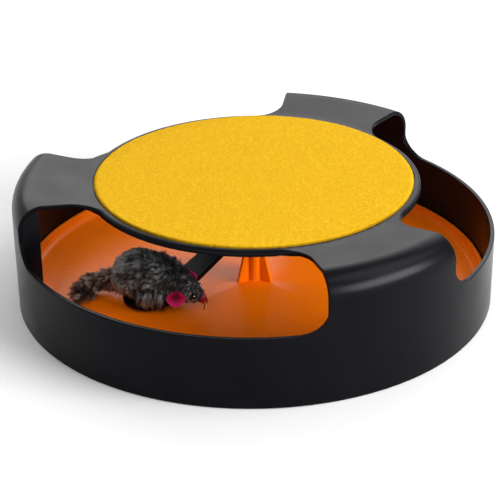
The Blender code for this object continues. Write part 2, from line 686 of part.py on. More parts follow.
def make_mouse(axis):
    """The stuffed mouse on the rotor's plate: core, body, head, felt ears, beads, whiskers and tail."""
    mouse = new_object("mouse_frame", None, PARTS)
    mouse.parent = axis
    mouse.location = (PLATE_CIRCLE, 0, PLATE_TOP)
    mouse.rotation_euler = (0, 0, MOUSE_HEADING - ROTOR_ANGLE)

    below = box("below_mouse", (2 * BODY_LENGTH, 2 * BODY_LENGTH, BODY_HEIGHT), (0, 0, 0), CUTTERS)
    below.parent = mouse
    below.location = (0, 0, FIT - BODY_HEIGHT / 2)
    core = dome("mouse_core", 0, PARTS, mouse)
    combine(core, below, "DIFFERENCE")
    pilot_top = SUNK_HEAD_HEIGHT - PLATE_THICKNESS + MOUSE_SCREW_LENGTH + FIT
    pilot = rod("core_pilot", SCREW_RADIUS + FIT, -OVERRUN, pilot_top, CUTTERS)
    pilot.parent = mouse
    combine(core, pilot, "DIFFERENCE")
    finish(core, GREY_PLASTIC)

    body_size = (BODY_LENGTH, BODY_WIDTH, BODY_HEIGHT)
    body = stuffed("mouse_body", body_size, BODY_SHARES, Matrix.Translation((0, 0, BODY_LIFT)), mouse)
    body_clearance = grown(body)
    combine(body, below, "DIFFERENCE")
    combine(body, dome("core_room", FIT, CUTTERS, mouse), "DIFFERENCE")
    finish(body, GREY_FUR)

    head_frame = new_object("head_frame", None, PARTS)
    head_frame.parent = mouse
    head_frame.location = (HEAD_FORWARD, HEAD_LEFT, HEAD_LIFT)
    head_frame.rotation_euler = (HEAD_TILT, HEAD_NOD, HEAD_TURN)
    head_size = (HEAD_LENGTH, HEAD_WIDTH, HEAD_HEIGHT)
    head = stuffed("mouse_head", head_size, HEAD_SHARES, Matrix.Identity(4), head_frame)
    head_clearance = grown(head)
    combine(head, body_clearance, "DIFFERENCE")
    finish(head, GREY_FUR)

    make_ears(head_frame, head_clearance)
    make_face(head_frame, head_clearance)
    make_tail(mouse, body_clearance)


def make_ears(head_frame, head_clearance):
    """Two cupped felt discs, each with the bottom of its cup on the side of the head."""
    sweep = 2 * math.atan2(EAR_CUP, EAR_RADIUS)
    curve_radius = EAR_RADIUS / math.sin(sweep)
    centre = (0, curve_radius)
    inside = arc(centre, curve_radius - EAR_THICKNESS, -math.pi / 2, sweep - math.pi / 2, 4)
    outside = arc(centre, curve_radius, sweep - math.pi / 2, -math.pi / 2, 4)
    for side, name in ((1, "left_ear"), (-1, "right_ear")):
        forward, across, up = scaled(EAR_SHARES, (HEAD_LENGTH, HEAD_WIDTH, HEAD_HEIGHT))
        facing = Vector((EAR_FACING[0], side * EAR_FACING[1], EAR_FACING[2]))
        turn = facing.to_track_quat("Z", "Y").to_matrix().to_4x4()
        ear = turned(name, inside + outside, SMALL_STEPS, PARTS)
        ear.parent = head_frame
        ear.matrix_local = Matrix.Translation((forward, side * across, up)) @ turn
        combine(ear, head_clearance, "DIFFERENCE")
        finish(ear, PINK_FELT)


def make_face(head_frame, head_clearance):
    """The nose on the tip of the head, the eyes beside it, and a drooping whisker on each side."""
    head_size = (HEAD_LENGTH, HEAD_WIDTH, HEAD_HEIGHT)
    tip = (HEAD_LENGTH / 2, 0, 0)
    nose = ball("mouse_nose", NOSE_RADIUS, tip, head_frame, PARTS)
    nose_clearance = ball("nose_clearance", NOSE_RADIUS + FIT, tip, head_frame, CUTTERS)
    combine(nose, head_clearance, "DIFFERENCE")
    finish(nose, RED_PLASTIC)
    for side, name in ((1, "left"), (-1, "right")):
        forward, across, up = scaled(EYE_SHARES, head_size)
        eye = ball(f"{name}_eye", EYE_RADIUS, (forward, side * across, up), head_frame, PARTS)
        combine(eye, head_clearance, "DIFFERENCE")
        finish(eye, BLACK_PLASTIC)
        route = []
        for along, outward, down in WHISKER_SHARES:
            route.append((
                tip[0] + along * WHISKER_LENGTH,
                side * (NOSE_RADIUS / 2 + outward * WHISKER_LENGTH),
                -down * WHISKER_LENGTH,
            ))
        whisker = tube(f"{name}_whisker", route, WHISKER_RADIUS, [1] * len(route), 1)
        whisker.parent = head_frame
        combine(whisker, head_clearance, "DIFFERENCE")
        combine(whisker, nose_clearance, "DIFFERENCE")
        finish(whisker, BROWN_THREAD)


def make_tail(mouse, body_clearance):
    """A soft tail that leaves the body low down, drops a little and bends to the mouse's right."""
    start = -BODY_LENGTH * TAIL_ROOT_SHARE
    route = []
    for back, right, drop, thickness in TAIL_SHARES:
        lift = TAIL_ROOT_LIFT + (TAIL_TIP_LIFT - TAIL_ROOT_LIFT) * drop
        route.append((start - back * TAIL_LENGTH, -right * TAIL_LENGTH, lift))
    tail = tube("mouse_tail", route, TAIL_RADIUS, [share[-1] for share in TAIL_SHARES], 2)
    tail.parent = mouse
    combine(tail, body_clearance, "DIFFERENCE")
    finish(tail, GREY_FUR)


clear_scene()
PARTS = new_collection("spinning_mouse_toy")
CUTTERS = new_collection("cutters")
BLACK_PLASTIC = new_material("black_plastic", "17171a", 0.38)
ORANGE_PLASTIC = new_material("orange_plastic", "d9681e", 0.22)
YELLOW_CARPET = new_material("yellow_carpet", "f5bf27", 0.95)
GREY_FOAM = new_material("grey_foam", "4a4a4c", 0.9)
STEEL = new_material("zinc_plated_steel", "b9bcc0", 0.35, 1.0)
GREY_PLASTIC = new_material("grey_plastic", "77777a", 0.5)
GREY_FUR = new_material("grey_fur", "4b4d4e", 0.95)
PINK_FELT = new_material("pink_felt", "c8125c", 0.9)
RED_PLASTIC = new_material("red_plastic", "a01818", 0.35)
BROWN_THREAD = new_material("brown_thread", "8a4a1c", 0.8)

make_cover()
make_pad()
make_tray()
make_feet()
make_fasteners()
rotor_axis = new_object("rotor_axis", None, PARTS)
rotor_axis.rotation_euler = (0, 0, ROTOR_ANGLE)
make_rotor(rotor_axis)
make_mouse(rotor_axis)
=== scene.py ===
"""The spinning mouse cat toy, dressed for the camera: a black moulded cover, a yellow needled carpet pad,
a glossy orange tray and a stuffed fur mouse on a black arm that turns about the tray's post."""

from math import asin, atan2, cos, exp, hypot, pi, radians, sin, sqrt

import bmesh
import bpy
import numpy as np
from mathutils import Euler, Matrix, Vector, noise
from mathutils.bvhtree import BVHTree


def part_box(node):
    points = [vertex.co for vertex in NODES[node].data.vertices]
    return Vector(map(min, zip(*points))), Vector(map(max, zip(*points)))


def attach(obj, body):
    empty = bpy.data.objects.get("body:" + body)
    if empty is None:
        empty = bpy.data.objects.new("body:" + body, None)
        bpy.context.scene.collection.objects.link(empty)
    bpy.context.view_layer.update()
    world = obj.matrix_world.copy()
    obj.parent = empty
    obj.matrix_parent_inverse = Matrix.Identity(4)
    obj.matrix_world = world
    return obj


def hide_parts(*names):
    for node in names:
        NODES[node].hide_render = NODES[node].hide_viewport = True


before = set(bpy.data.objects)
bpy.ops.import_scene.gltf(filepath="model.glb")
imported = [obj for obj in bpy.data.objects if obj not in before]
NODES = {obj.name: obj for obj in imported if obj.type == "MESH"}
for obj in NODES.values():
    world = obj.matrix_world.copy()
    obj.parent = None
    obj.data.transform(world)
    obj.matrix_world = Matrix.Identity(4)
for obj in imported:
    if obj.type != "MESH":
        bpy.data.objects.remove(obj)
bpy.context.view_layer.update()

MM = 0.001
HAIRLINE = 0.001 * MM

# The camera's place and its small turns, and its lens, whose length the photo gives in pixels
CAMERA_PLACE = Vector((0, -750.5, 399.1)) * MM
CAMERA_YAW = radians(-0.16)
CAMERA_PITCH = radians(1.21)
CAMERA_ROLL = radians(-0.57)
PHOTO_WIDTH = 500
LENS_IN_PIXELS = 1586.9
SENSOR_WIDTH = 36
LENS_LENGTH = LENS_IN_PIXELS / PHOTO_WIDTH * SENSOR_WIDTH
NEAREST_SEEN = 10 * MM

# The mouse stands on the arm's round plate, and its head leans out of the body
PLATE_TOP = 8.5 * MM
MOUSE_PLACE = Vector((-55.0, -27.06, PLATE_TOP / MM)) * MM
MOUSE_HEADING = radians(-27)
HEAD_PLACE = Vector((20.7, 2.7, 7.5)) * MM
HEAD_TURNS = (radians(15), radians(27), radians(14))
MOUSE = Matrix.Translation(MOUSE_PLACE) @ Matrix.Rotation(MOUSE_HEADING, 4, "Z")
HEAD = MOUSE @ Matrix.Translation(HEAD_PLACE) @ Euler(HEAD_TURNS).to_matrix().to_4x4()
INTO_MOUSE = MOUSE.inverted()

# The carpet disc, a little loose in its recess. Its material needs its radius too
PAD_RADIUS = 82.9 * MM
PAD_BOTTOM = 61.7 * MM
PAD_TOP = 63.8 * MM

# A mix node's two colours among its inputs
FIRST, SECOND = 6, 7


def linear(colour):
    """An sRGB hex colour as linear red, green, blue and alpha."""
    channels = [int(colour[i:i + 2], 16) / 255 for i in (0, 2, 4)]
    return [c / 12.92 if c <= 0.04045 else ((c + 0.055) / 1.055) ** 2.4 for c in channels] + [1]


def wire(tree, node, inputs):
    """Gives a node's inputs numbers or hex colours, or links them to sockets or to nodes' first outputs."""
    for socket, value in inputs.items():
        if isinstance(value, str):
            value = linear(value)
        if isinstance(value, bpy.types.Node):
            value = next(output for output in value.outputs if output.enabled)
        if isinstance(value, bpy.types.NodeSocket):
            tree.links.new(value, node.inputs[socket])
        else:
            node.inputs[socket].default_value = value


def add(tree, kind, inputs=None, **settings):
    """Adds a shader node with its settings, and its inputs' values or links."""
    made = tree.nodes.new("ShaderNode" + kind)
    for name, value in settings.items():
        setattr(made, name, value)
    wire(tree, made, inputs or {})
    return made


def start_material(name):
    """An empty material: its tree, its shader, and places on the piece in metres."""
    made = bpy.data.materials.new(name)
    made.use_nodes = True
    tree = made.node_tree
    places = add(tree, "TexCoord").outputs["Object"]
    return made, tree, tree.nodes["Principled BSDF"], places


def satin_black_shell():
    """Moulded ABS from a spark-eroded tool: near black and satin, so lamps spread into soft grey fields."""
    made, tree, shader, places = start_material("satin_black_moulded_abs")
    # The eroded grain is finer than this on the real part, and is drawn at 0.7 mm so that it shows
    grit = add(tree, "TexNoise", {"Vector": places, "Scale": 1 / (0.7 * MM), "Detail": 1.0})
    # Slow waves of 20 mm and more, where the wall sank a little as it cooled
    waves = add(tree, "TexNoise", {"Vector": places, "Scale": 1 / (22 * MM), "Detail": 1.0})
    tint = add(tree, "Mix", {"Factor": waves, FIRST: "040406", SECOND: "08080b"}, data_type="RGBA")
    satin = add(tree, "MapRange", {"Value": waves, "From Min": 0.3, "From Max": 0.7, "To Min": 0.25,
                                   "To Max": 0.32})
    grained = add(tree, "Bump", {"Height": grit, "Strength": 0.2, "Distance": 0.05 * MM})
    waved = add(tree, "Bump", {"Height": waves, "Strength": 0.4, "Distance": 0.25 * MM, "Normal": grained})
    wire(tree, shader, {"Base Color": tint, "Roughness": satin, "Normal": waved, "IOR": 1.5,
                        "Specular IOR Level": 0.075, "Specular Tint": "f1f3ff"})
    return made


def glossy_orange_tray():
    """Moulded polypropylene from a polished tool: orange right through, its gloss dulled by faint scuffs."""
    made, tree, shader, places = start_material("glossy_orange_moulded_polypropylene")
    # Flow clouds about 30 mm across, where the melt met the cold tool, and scuffs drawn 1.5 mm across
    clouds = add(tree, "TexNoise", {"Vector": places, "Scale": 1 / (30 * MM), "Detail": 2.0})
    scuffs = add(tree, "TexNoise", {"Vector": places, "Scale": 1 / (1.5 * MM), "Detail": 3.0})
    tint = add(tree, "Mix", {"Factor": clouds, FIRST: "fa7104", SECOND: "ff7b08"}, data_type="RGBA")
    rubbed = add(tree, "MapRange", {"Value": scuffs, "From Min": 0.3, "From Max": 0.7, "To Min": 0.24,
                                    "To Max": 0.31})
    waved = add(tree, "Bump", {"Height": clouds, "Strength": 0.3, "Distance": 0.3 * MM})
    wire(tree, shader, {"Base Color": tint, "Roughness": rubbed, "Normal": waved, "IOR": 1.49,
                        "Specular IOR Level": 0.08})
    return made


def needled_yellow_carpet():
    """Needle-punched polyester: matt, with a painted shade in the hollows between tangled fibres and along
    its cut edge.
    """
    made, tree, shader, places = start_material("needled_yellow_polyester_carpet")
    # Tangles 1.6 mm across, and fibres, finer than this on the real pad, drawn at 0.6 mm so that they show
    tangles = add(tree, "TexNoise", {"Vector": places, "Scale": 1 / (1.6 * MM), "Detail": 3.0,
                                     "Roughness": 0.65})
    fibres = add(tree, "TexNoise", {"Vector": places, "Scale": 1 / (0.6 * MM), "Detail": 2.0,
                                    "Roughness": 0.6})
    mixed = add(tree, "Math", {0: tangles, 1: fibres}, operation="ADD")
    # The hollows between tangles and fibres are drawn darker than their tops: a painted shade that follows
    # the bump
    depth = add(tree, "MapRange", {"Value": mixed, "From Min": 0.72, "From Max": 1.28})
    shaded_fibres = add(tree, "Mix", {"Factor": depth, FIRST: "a87c05", SECOND: "bd9615"}, data_type="RGBA")
    # Patches about 14 mm across, where the dyeing came out more even and the painted shade in the hollows
    # fades
    patches = add(tree, "TexNoise", {"Vector": places, "Scale": 1 / (14 * MM), "Detail": 2.0})
    even = add(tree, "Mix", {"Factor": patches, FIRST: shaded_fibres, SECOND: "b68c0b"}, data_type="RGBA")
    # Looped-up fibres that catch the light as pale squiggles about 4 mm long
    loops = add(tree, "TexNoise", {"Vector": places, "Scale": 1 / (4 * MM), "Detail": 1.0, "Distortion": 1.4})
    off_middle = add(tree, "Math", {0: loops, 1: 0.5}, operation="SUBTRACT")
    either_side = add(tree, "Math", {0: off_middle}, operation="ABSOLUTE")
    thin = add(tree, "MapRange", {"Value": either_side, "From Min": 0.0, "From Max": 0.035, "To Min": 0.5,
                                  "To Max": 0.0})
    tint = add(tree, "Mix", {"Factor": thin, FIRST: even, SECOND: "cca525"}, data_type="RGBA")
    # The cut edge is drawn darker: a painted shade over its rounded fall
    flat = add(tree, "VectorMath", {0: places, 1: (1, 1, 0)}, operation="MULTIPLY")
    far = add(tree, "VectorMath", {0: flat}, operation="LENGTH")
    at_edge = add(tree, "MapRange", {"Value": far, "From Min": PAD_RADIUS - 1.0 * MM,
                                     "From Max": PAD_RADIUS - 0.2 * MM})
    edge_shaded = add(tree, "Mix", {"Factor": at_edge, FIRST: tint, SECOND: "7a5a06"}, data_type="RGBA")
    raised = add(tree, "Bump", {"Height": depth, "Strength": 0.6, "Distance": 0.35 * MM})
    wire(tree, shader, {"Base Color": edge_shaded, "Roughness": 0.95, "Normal": raised,
                        "Specular IOR Level": 0.05})
    return made


def plain_finish(name, dark, light, size, roughness, metallic=0.0, bump=0.1, specular=0.5):
    """A finish with a fine two-tone grain of one size."""
    made, tree, shader, places = start_material(name)
    grit = add(tree, "TexNoise", {"Vector": places, "Scale": 1 / size, "Detail": 3.0})
    tint = add(tree, "Mix", {"Factor": grit, FIRST: dark, SECOND: light}, data_type="RGBA")
    raised = add(tree, "Bump", {"Height": grit, "Strength": bump, "Distance": size / 4})
    wire(tree, shader, {"Base Color": tint, "Roughness": roughness, "Metallic": metallic, "Normal": raised,
                        "Specular IOR Level": specular})
    return made


def mouse_fur(name, root_shade, dark, middle, pale):
    """Acrylic fake fur in dark, middling and pale locks; each hair is darker at the root and paler at the
    tip, the dark root a painted shade.
    """
    made, tree, shader, _ = start_material(name)
    tone = add(tree, "Attribute", attribute_name="tone").outputs["Fac"]
    tip = add(tree, "Attribute", attribute_name="tip").outputs["Fac"]
    low = add(tree, "MapRange", {"Value": tone, "From Min": 0.0, "From Max": 0.5})
    high = add(tree, "MapRange", {"Value": tone, "From Min": 0.45, "From Max": 1.0})
    lower = add(tree, "Mix", {"Factor": low, FIRST: dark, SECOND: middle}, data_type="RGBA")
    upper = add(tree, "Mix", {"Factor": high, FIRST: lower, SECOND: pale}, data_type="RGBA")
    # Towards the root each hair takes the painted shade of the deep pile
    both = add(tree, "Mix", {"Factor": tip, FIRST: root_shade, SECOND: upper}, data_type="RGBA")
    wire(tree, shader, {"Base Color": both, "Roughness": 0.55, "Specular IOR Level": 0.3})
    return made


def pink_felt():
    """Pressed wool felt: a strong pink, darkened to crimson in the ear's cup by a painted shade, with a fuzz
    that takes all gloss off.
    """
    made, tree, shader, places = start_material("pink_wool_felt")
    # Wool is finer than this, and its fuzz is drawn at 0.6 mm so that it shows
    fuzz = add(tree, "TexNoise", {"Vector": places, "Scale": 1 / (0.6 * MM), "Detail": 3.0})
    # Towards the middle of the cup the pink is darkened to crimson: a painted shade
    out = add(tree, "Attribute", attribute_name="out").outputs["Fac"]
    rim = add(tree, "Mix", {"Factor": fuzz, FIRST: "c01258", SECOND: "ec3080"}, data_type="RGBA")
    tint = add(tree, "Mix", {"Factor": out, FIRST: "5c0422", SECOND: rim}, data_type="RGBA")
    raised = add(tree, "Bump", {"Height": fuzz, "Strength": 0.6, "Distance": 0.15 * MM})
    wire(tree, shader, {"Base Color": tint, "Roughness": 0.9, "Normal": raised, "Specular IOR Level": 0.2})
    return made


SHELL_FINISH = satin_black_shell()
TRAY_FINISH = glossy_orange_tray()
CARPET = needled_yellow_carpet()
# Each fur's first colour is the painted shade at its hairs' roots
FUR = mouse_fur("grey_acrylic_fur", "131313", "2a2b2b", "5e6060", "c6c8c6")
TAIL_FUR = mouse_fur("brown_black_acrylic_fur", "1a120e", "3a2820", "806455", "dcc8b8")
FELT = pink_felt()
# The knitted cloth that the hairs stand in: dark, matt and ribbed, seen only between the locks
BACKING = plain_finish("knitted_fur_backing", "131314", "2a2b2d", 1.2 * MM, 0.9, bump=0.5, specular=0.2)
# A moulded bead, deep red right through with a soft gloss
RED_NOSE = plain_finish("dark_red_moulded_bead", "7c0a14", "960f1c", 1.5 * MM, 0.35)
# Pressed glass, so black and smooth that it shows only the lamps
BLACK_BEAD = plain_finish("black_glass_bead", "050505", "0a0a0a", 2 * MM, 0.08)
# Twisted and waxed, brown with paler strands and little gloss
THREAD = plain_finish("brown_waxed_thread", "5e2c10", "94501f", 0.4 * MM, 0.7, bump=0.5)
# Rolled and plated, a pale metal with a faint cloud of crystals
STEEL = plain_finish("zinc_plated_steel", "a9acb0", "c8cace", 1 * MM, 0.32, metallic=1.0, bump=0.08)
# Moulded nylon, a plain grey with a dull skin
NYLON = plain_finish("grey_moulded_nylon", "6c6c6f", "7b7b7e", 1.5 * MM, 0.5)
# Die-cut foam, dark and gloss-free, its open cells about 0.5 mm across
FOAM = plain_finish("dark_foam_pad", "3a3a3c", "4f4f52", 0.5 * MM, 0.95, bump=0.7, specular=0.2)


def dress(finish, slot, *names):
    """Gives CAD nodes a finish."""
    for name in names:
        node = NODES[name]
        node.data.materials.clear()
        node.data.materials.append(finish)


dress(SHELL_FINISH, "black_plastic", "rotor_arm")
dress(FOAM, "grey_foam", "foot_1", "foot_2", "foot_3")
dress(STEEL, "steel", "cover_screw_1", "cover_screw_2", "cover_screw_3", "mouse_screw", "pivot_screw",
      "pivot_washer")
dress(NYLON, "grey_plastic", "mouse_core")
dress(BLACK_BEAD, "black_bead", "left_eye", "right_eye")
dress(THREAD, "brown_thread", "left_whisker", "right_whisker")


def new_object(name, data):
    """An object in the scene."""
    made = bpy.data.objects.new(name, data)
    bpy.context.scene.collection.objects.link(made)
    return made


def new_piece(name, mesh, finish, slot, body, *stands_for):
    """A piece that rides on a body, takes a finish and may stand for CAD nodes. Its slot is not used."""
    made = new_object(name, mesh)
    made.data.materials.append(finish)
    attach(made, body)
    if stands_for:
        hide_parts(*stands_for)
    return made


def mesh_of(cage, name):
    """A mesh from a bmesh, which goes afterwards."""
    mesh = bpy.data.meshes.new(name)
    cage.to_mesh(mesh)
    cage.free()
    return mesh


def smooth_mesh(cage, name, angle=30):
    """A smooth-shaded mesh from a bmesh, sharp where faces meet at more than an angle in degrees."""
    mesh = mesh_of(cage, name)
    mesh.shade_smooth()
    mesh.set_sharp_from_angle(angle=radians(angle))
    return mesh


def worked_mesh(made):
    """An object's mesh as its modifiers leave it."""
    bpy.context.view_layer.update()
    graph = bpy.context.evaluated_depsgraph_get()
    return bpy.data.meshes.new_from_object(made.evaluated_get(graph))


def face_outward(cage):
    """Turns every face of a closed form outward."""
    bmesh.ops.recalc_face_normals(cage, faces=cage.faces)
    if cage.calc_volume(signed=True) < 0:
        bmesh.ops.reverse_faces(cage, faces=cage.faces)


def strip(cage, first, second):
    """Joins two closed rows of corners with four-sided faces."""
    count = len(first)
    for i in range(count):
        j = (i + 1) % count
        cage.faces.new((first[i], first[j], second[j], second[i]))


def around(steps):
    """Angles at even steps all the way round."""
    return [2 * pi * i / steps for i in range(steps)]


def columns(*given):
    """Columns as one array, with single numbers repeated down it."""
    return np.stack(np.broadcast_arrays(*given), axis=1)


# The cover as moulded: three arms and three windows, each sector centred on a window
SECTOR = 2 * pi / 3
ARMS_AT = [radians(63) + i * SECTOR for i in range(3)]
WINDOWS_AT = [angle + SECTOR / 2 for angle in ARMS_AT]
WINDOW_HALF = radians(42.7)
COVER_RADIUS = 125 * MM
COVER_TOP = 65.2 * MM
COVER_BOTTOM = 0.5 * MM
SHELL = 2.2 * MM
SHOULDER = 12.5 * MM
SHOULDER_IN = COVER_RADIUS - SHOULDER
SHOULDER_UP = COVER_TOP - SHOULDER
RECESS_RADIUS = 83.2 * MM
RECESS_FLOOR = 61.4 * MM
RECESS_RINGS = (55 * MM, 25 * MM)
RIM_RADIUS = 86.5 * MM
RIM_TOP = 62.6 * MM
RIM_UNDERSIDE = 59.6 * MM
THICK_TO = 87.5 * MM
THINS_OVER = 2.5 * MM
WINDOW_CORNER = 15 * MM
SILL_UP = 37.6 * MM
SILL_CORNER = 12.5 * MM
SILL_HALF = (COVER_RADIUS + 0.3 * MM) * sin(WINDOW_HALF)
SECTOR_WELD = 0.004 * MM

# Distances along the cover's outer line, from the edge of the recess out and down to the floor
TO_RIM = RIM_RADIUS - RECESS_RADIUS
TO_SHOULDER = TO_RIM + hypot(SHOULDER_IN - RIM_RADIUS, COVER_TOP - RIM_TOP)
TO_WALL = TO_SHOULDER + SHOULDER * pi / 2
TO_BOTTOM = TO_WALL + SHOULDER_UP - COVER_BOTTOM

# A window's edge: its rounding at the rim, on its sides and inside, and the narrow flat past the rounding
RIM_ROUNDING = 2.6 * MM
SIDE_ROUNDING = 0.5 * MM
INSIDE_ROUNDING_SHARE = 0.6
LAND = 0.15 * MM

# The steps along each side and round each corner of a window, and the corner's steps that face the recess
SIDE_STEPS = 26
CORNER_STEPS = 14
STEPS_ON_RECESS = 9
# Rows of faces run on square to the edge, then bend to the sector's border, closest together near the edge
BEND_SHARE = 0.4
LONGEST_BEND = 8 * MM
ROW_SHARES = (0.06, 0.14, 0.24, 0.35, 0.47, 0.6, 0.73, 0.86, 1)

# Ribs, webs and screw bosses inside the arms
FITTINGS_BOTTOM = 10 * MM
RIB = 2 * MM
RIB_START = 114 * MM
RIB_ASIDE = -1.4 * MM
WEB_START = 120.4 * MM
RIB_STEPS = 12
RIB_EDGE = 0.25 * MM
BOSS_CIRCLE = 117.5 * MM
BOSS_RADIUS = 3.5 * MM
BOSS_EDGE = 0.2 * MM
SCREW_HOLE = 1.75 * MM
SCREW_HOLE_TOP = 21 * MM


def outer_line(travel):
    """Radius, height and the way out at distances along the cover's outer line."""
    flat = np.clip(travel, 0, TO_RIM)
    slope = np.clip((travel - TO_RIM) / (TO_SHOULDER - TO_RIM), 0, 1)
    bend = np.clip((travel - TO_SHOULDER) / SHOULDER, 0, pi / 2)
    drop = np.clip(travel - TO_WALL, 0, None)
    radius = RECESS_RADIUS + flat + slope * (SHOULDER_IN - RIM_RADIUS) + SHOULDER * np.sin(bend)
    height = RIM_TOP + slope * (COVER_TOP - RIM_TOP) - SHOULDER * (1 - np.cos(bend)) - drop
    return radius, height, np.sin(bend), np.cos(bend)


def inner_line(travel):
    """The same for the inside: a thicker round top that thins past its rim to an even wall."""
    radius, height, out, up = outer_line(travel)
    share = np.clip((radius - THICK_TO) / THINS_OVER, 0, 1)
    depth = (RIM_TOP - RIM_UNDERSIDE) * (1 - share) + SHELL * share
    return radius - out * depth, height - up * depth, out, up


def window_edge(radius):
    """All round a window's edge: each point's angle and travel, those of the point that it faces on the
    sector's border, and the size of the edge's rounding."""
    to_end = np.linspace(0, 1, SIDE_STEPS + 1)
    steps = to_end[:-1]
    corner_steps = np.linspace(0, 1, CORNER_STEPS + 1)[:-1]
    centre = RIM_RADIUS + WINDOW_CORNER
    lean = asin(WINDOW_CORNER / centre)
    tangent = WINDOW_HALF - lean
    border = SECTOR / 2

    rim = columns(tangent * steps, TO_RIM, tangent * steps, 0, RIM_ROUNDING)

    turn = tangent + pi + (lean - pi / 2) * corner_steps
    x = centre * cos(tangent) + WINDOW_CORNER * np.cos(turn)
    y = centre * sin(tangent) + WINDOW_CORNER * np.sin(turn)
    slope = (TO_SHOULDER - TO_RIM) / (SHOULDER_IN - RIM_RADIUS)
    travel = TO_RIM + (np.hypot(x, y) - RIM_RADIUS) * slope
    side_start = TO_RIM + (centre * cos(lean) - RIM_RADIUS) * slope
    counted = corner_steps * CORNER_STEPS
    along = np.clip(counted / STEPS_ON_RECESS, 0, 1)
    down = np.clip((counted - STEPS_ON_RECESS) / (CORNER_STEPS - STEPS_ON_RECESS), 0, 1)
    rounding = SIDE_ROUNDING + (RIM_ROUNDING - SIDE_ROUNDING) * (1 - corner_steps) ** 2
    upper = columns(np.arctan2(y, x), travel, tangent + (border - tangent) * along, side_start * down,
                    rounding)

    side_end = TO_WALL + SHOULDER_UP - (SILL_UP + SILL_CORNER)
    travel = side_start + (side_end - side_start) * steps
    side = columns(WINDOW_HALF, travel, border, travel, SIDE_ROUNDING)

    turn = corner_steps * pi / 2
    across = SILL_HALF - SILL_CORNER + SILL_CORNER * np.cos(turn)
    angle = np.minimum(WINDOW_HALF, np.arcsin(np.minimum(across / radius, 1)))
    travel = side_end + SILL_CORNER * np.sin(turn)
    sill_angle = asin((SILL_HALF - SILL_CORNER) / radius)
    border_angle = asin((SILL_HALF - SILL_CORNER) / COVER_RADIUS)
    down = np.clip(corner_steps * 2, 0, 1)
    back = np.clip(corner_steps * 2 - 1, 0, 1)
    lower = columns(angle, travel, border + (border_angle - border) * back,
                    side_end + (TO_BOTTOM - side_end) * down, SIDE_ROUNDING)

    sill = columns(sill_angle * (1 - to_end), side_end + SILL_CORNER, border_angle * (1 - to_end),
                   TO_BOTTOM, SIDE_ROUNDING)
    half = np.concatenate([rim, upper, side, lower, sill])
    other = half[-2:0:-1] * np.array([-1, 1, -1, 1, 1])
    return np.concatenate([half, other])


def skin_rows(line, radius, inward):
    """Rows of points on one skin of a sector, from the window's rounded edge to the sector's border."""
    angle, travel, border_angle, border_travel, rounding = window_edge(radius).T
    if inward:
        rounding = rounding * INSIDE_ROUNDING_SHARE
    here = line(travel)[0]
    step_angle = (np.roll(angle, -1) - np.roll(angle, 1)) * here
    step_travel = np.roll(travel, -1) - np.roll(travel, 1)
    length = np.hypot(step_angle, step_travel)
    way = columns(step_travel / length / here, -step_angle / length)
    facing = columns(border_angle - angle, border_travel - travel)
    way *= np.sign((way * facing * columns(here, 1)).sum(axis=1))[:, None]
    start = columns(angle, travel)
    finish = columns(border_angle, border_travel)

    rows = []
    for turn in np.linspace(0, pi / 2, 3 if inward else 5):
        where = start + way * (rounding * (1 - cos(turn)))[:, None]
        rows.append((where, rounding * (1 - sin(turn))))
    last = start + way * (rounding + LAND)[:, None]
    rows.append((last, 0))
    reach = np.hypot((finish - last)[:, 0] * here, (finish - last)[:, 1])
    bend = last + way * np.minimum(reach * BEND_SHARE, LONGEST_BEND)[:, None]
    for share in ROW_SHARES:
        rows.append(((1 - share) ** 2 * last + 2 * share * (1 - share) * bend + share ** 2 * finish, 0))

    placed = []
    for where, depth in rows:
        distance, height, out, up = line(where[:, 1])
        sink = depth if inward else -depth
        distance, height = distance + out * sink, height + up * sink
        placed.append(columns(distance * np.cos(where[:, 0]), distance * np.sin(where[:, 0]), height))
    return placed, border_angle, border_travel


def prism(outline, thickness):
    """An upright plate through (radius, height) points, with its edges broken."""
    cage = bmesh.new()
    front = [cage.verts.new((x, -thickness / 2, z)) for x, z in outline]
    back = [cage.verts.new((x, thickness / 2, z)) for x, z in outline]
    cage.faces.new(front)
    cage.faces.new(list(reversed(back)))
    strip(cage, back, front)
    face_outward(cage)
    bmesh.ops.bevel(cage, geom=cage.edges[:], offset=RIB_EDGE, segments=2, affect="EDGES", profile=0.5)
    return mesh_of(cage, "plate")


def under_shoulder(radius):
    """The height of the middle of the skin at a radius under the shoulder."""
    reach = SHOULDER - SHELL / 2
    return SHOULDER_UP + sqrt(max(reach ** 2 - max(radius - SHOULDER_IN, 0) ** 2, 0))


def revolve(line, steps):
    """A bmesh turned about Z from (radius, height) points; points on the axis are welded."""
    cage = bmesh.new()
    rows = [[cage.verts.new((radius * cos(a), radius * sin(a), height)) for a in around(steps)]
            for radius, height in line]
    for first, second in zip(rows, rows[1:]):
        strip(cage, first, second)
    bmesh.ops.remove_doubles(cage, verts=cage.verts, dist=HAIRLINE)
    face_outward(cage)
    return cage


def screw_boss():
    """A boss under the shoulder with a blind hole for a screw, its top run into the skin."""
    line = [(0, SCREW_HOLE_TOP), (SCREW_HOLE, SCREW_HOLE_TOP), (SCREW_HOLE, FITTINGS_BOTTOM),
            (BOSS_RADIUS - BOSS_EDGE, FITTINGS_BOTTOM), (BOSS_RADIUS, FITTINGS_BOTTOM + BOSS_EDGE),
            (BOSS_RADIUS, COVER_TOP), (0, COVER_TOP)]
    cage = revolve(line, steps=32)
    for corner in cage.verts:
        if corner.co.z > SHOULDER_UP:
            corner.co.z = under_shoulder(BOSS_CIRCLE + corner.co.x)
    return mesh_of(cage, "boss")


def close_top(cage, turn, row, angles, radii, height):
    """Faces from a row of corners in to the cover's axis, by way of rings at given radii."""
    for radius in radii:
        places = [Vector((radius * cos(a), radius * sin(a), height)) for a in angles]
        ring = [cage.verts.new(turn @ place) for place in places]
        for i in range(len(row) - 1):
            cage.faces.new((row[i], row[i + 1], ring[i + 1], ring[i]))
        row = ring
    centre = cage.verts.new((0, 0, height))
    for i in range(len(row) - 1):
        cage.faces.new((row[i], row[i + 1], centre))


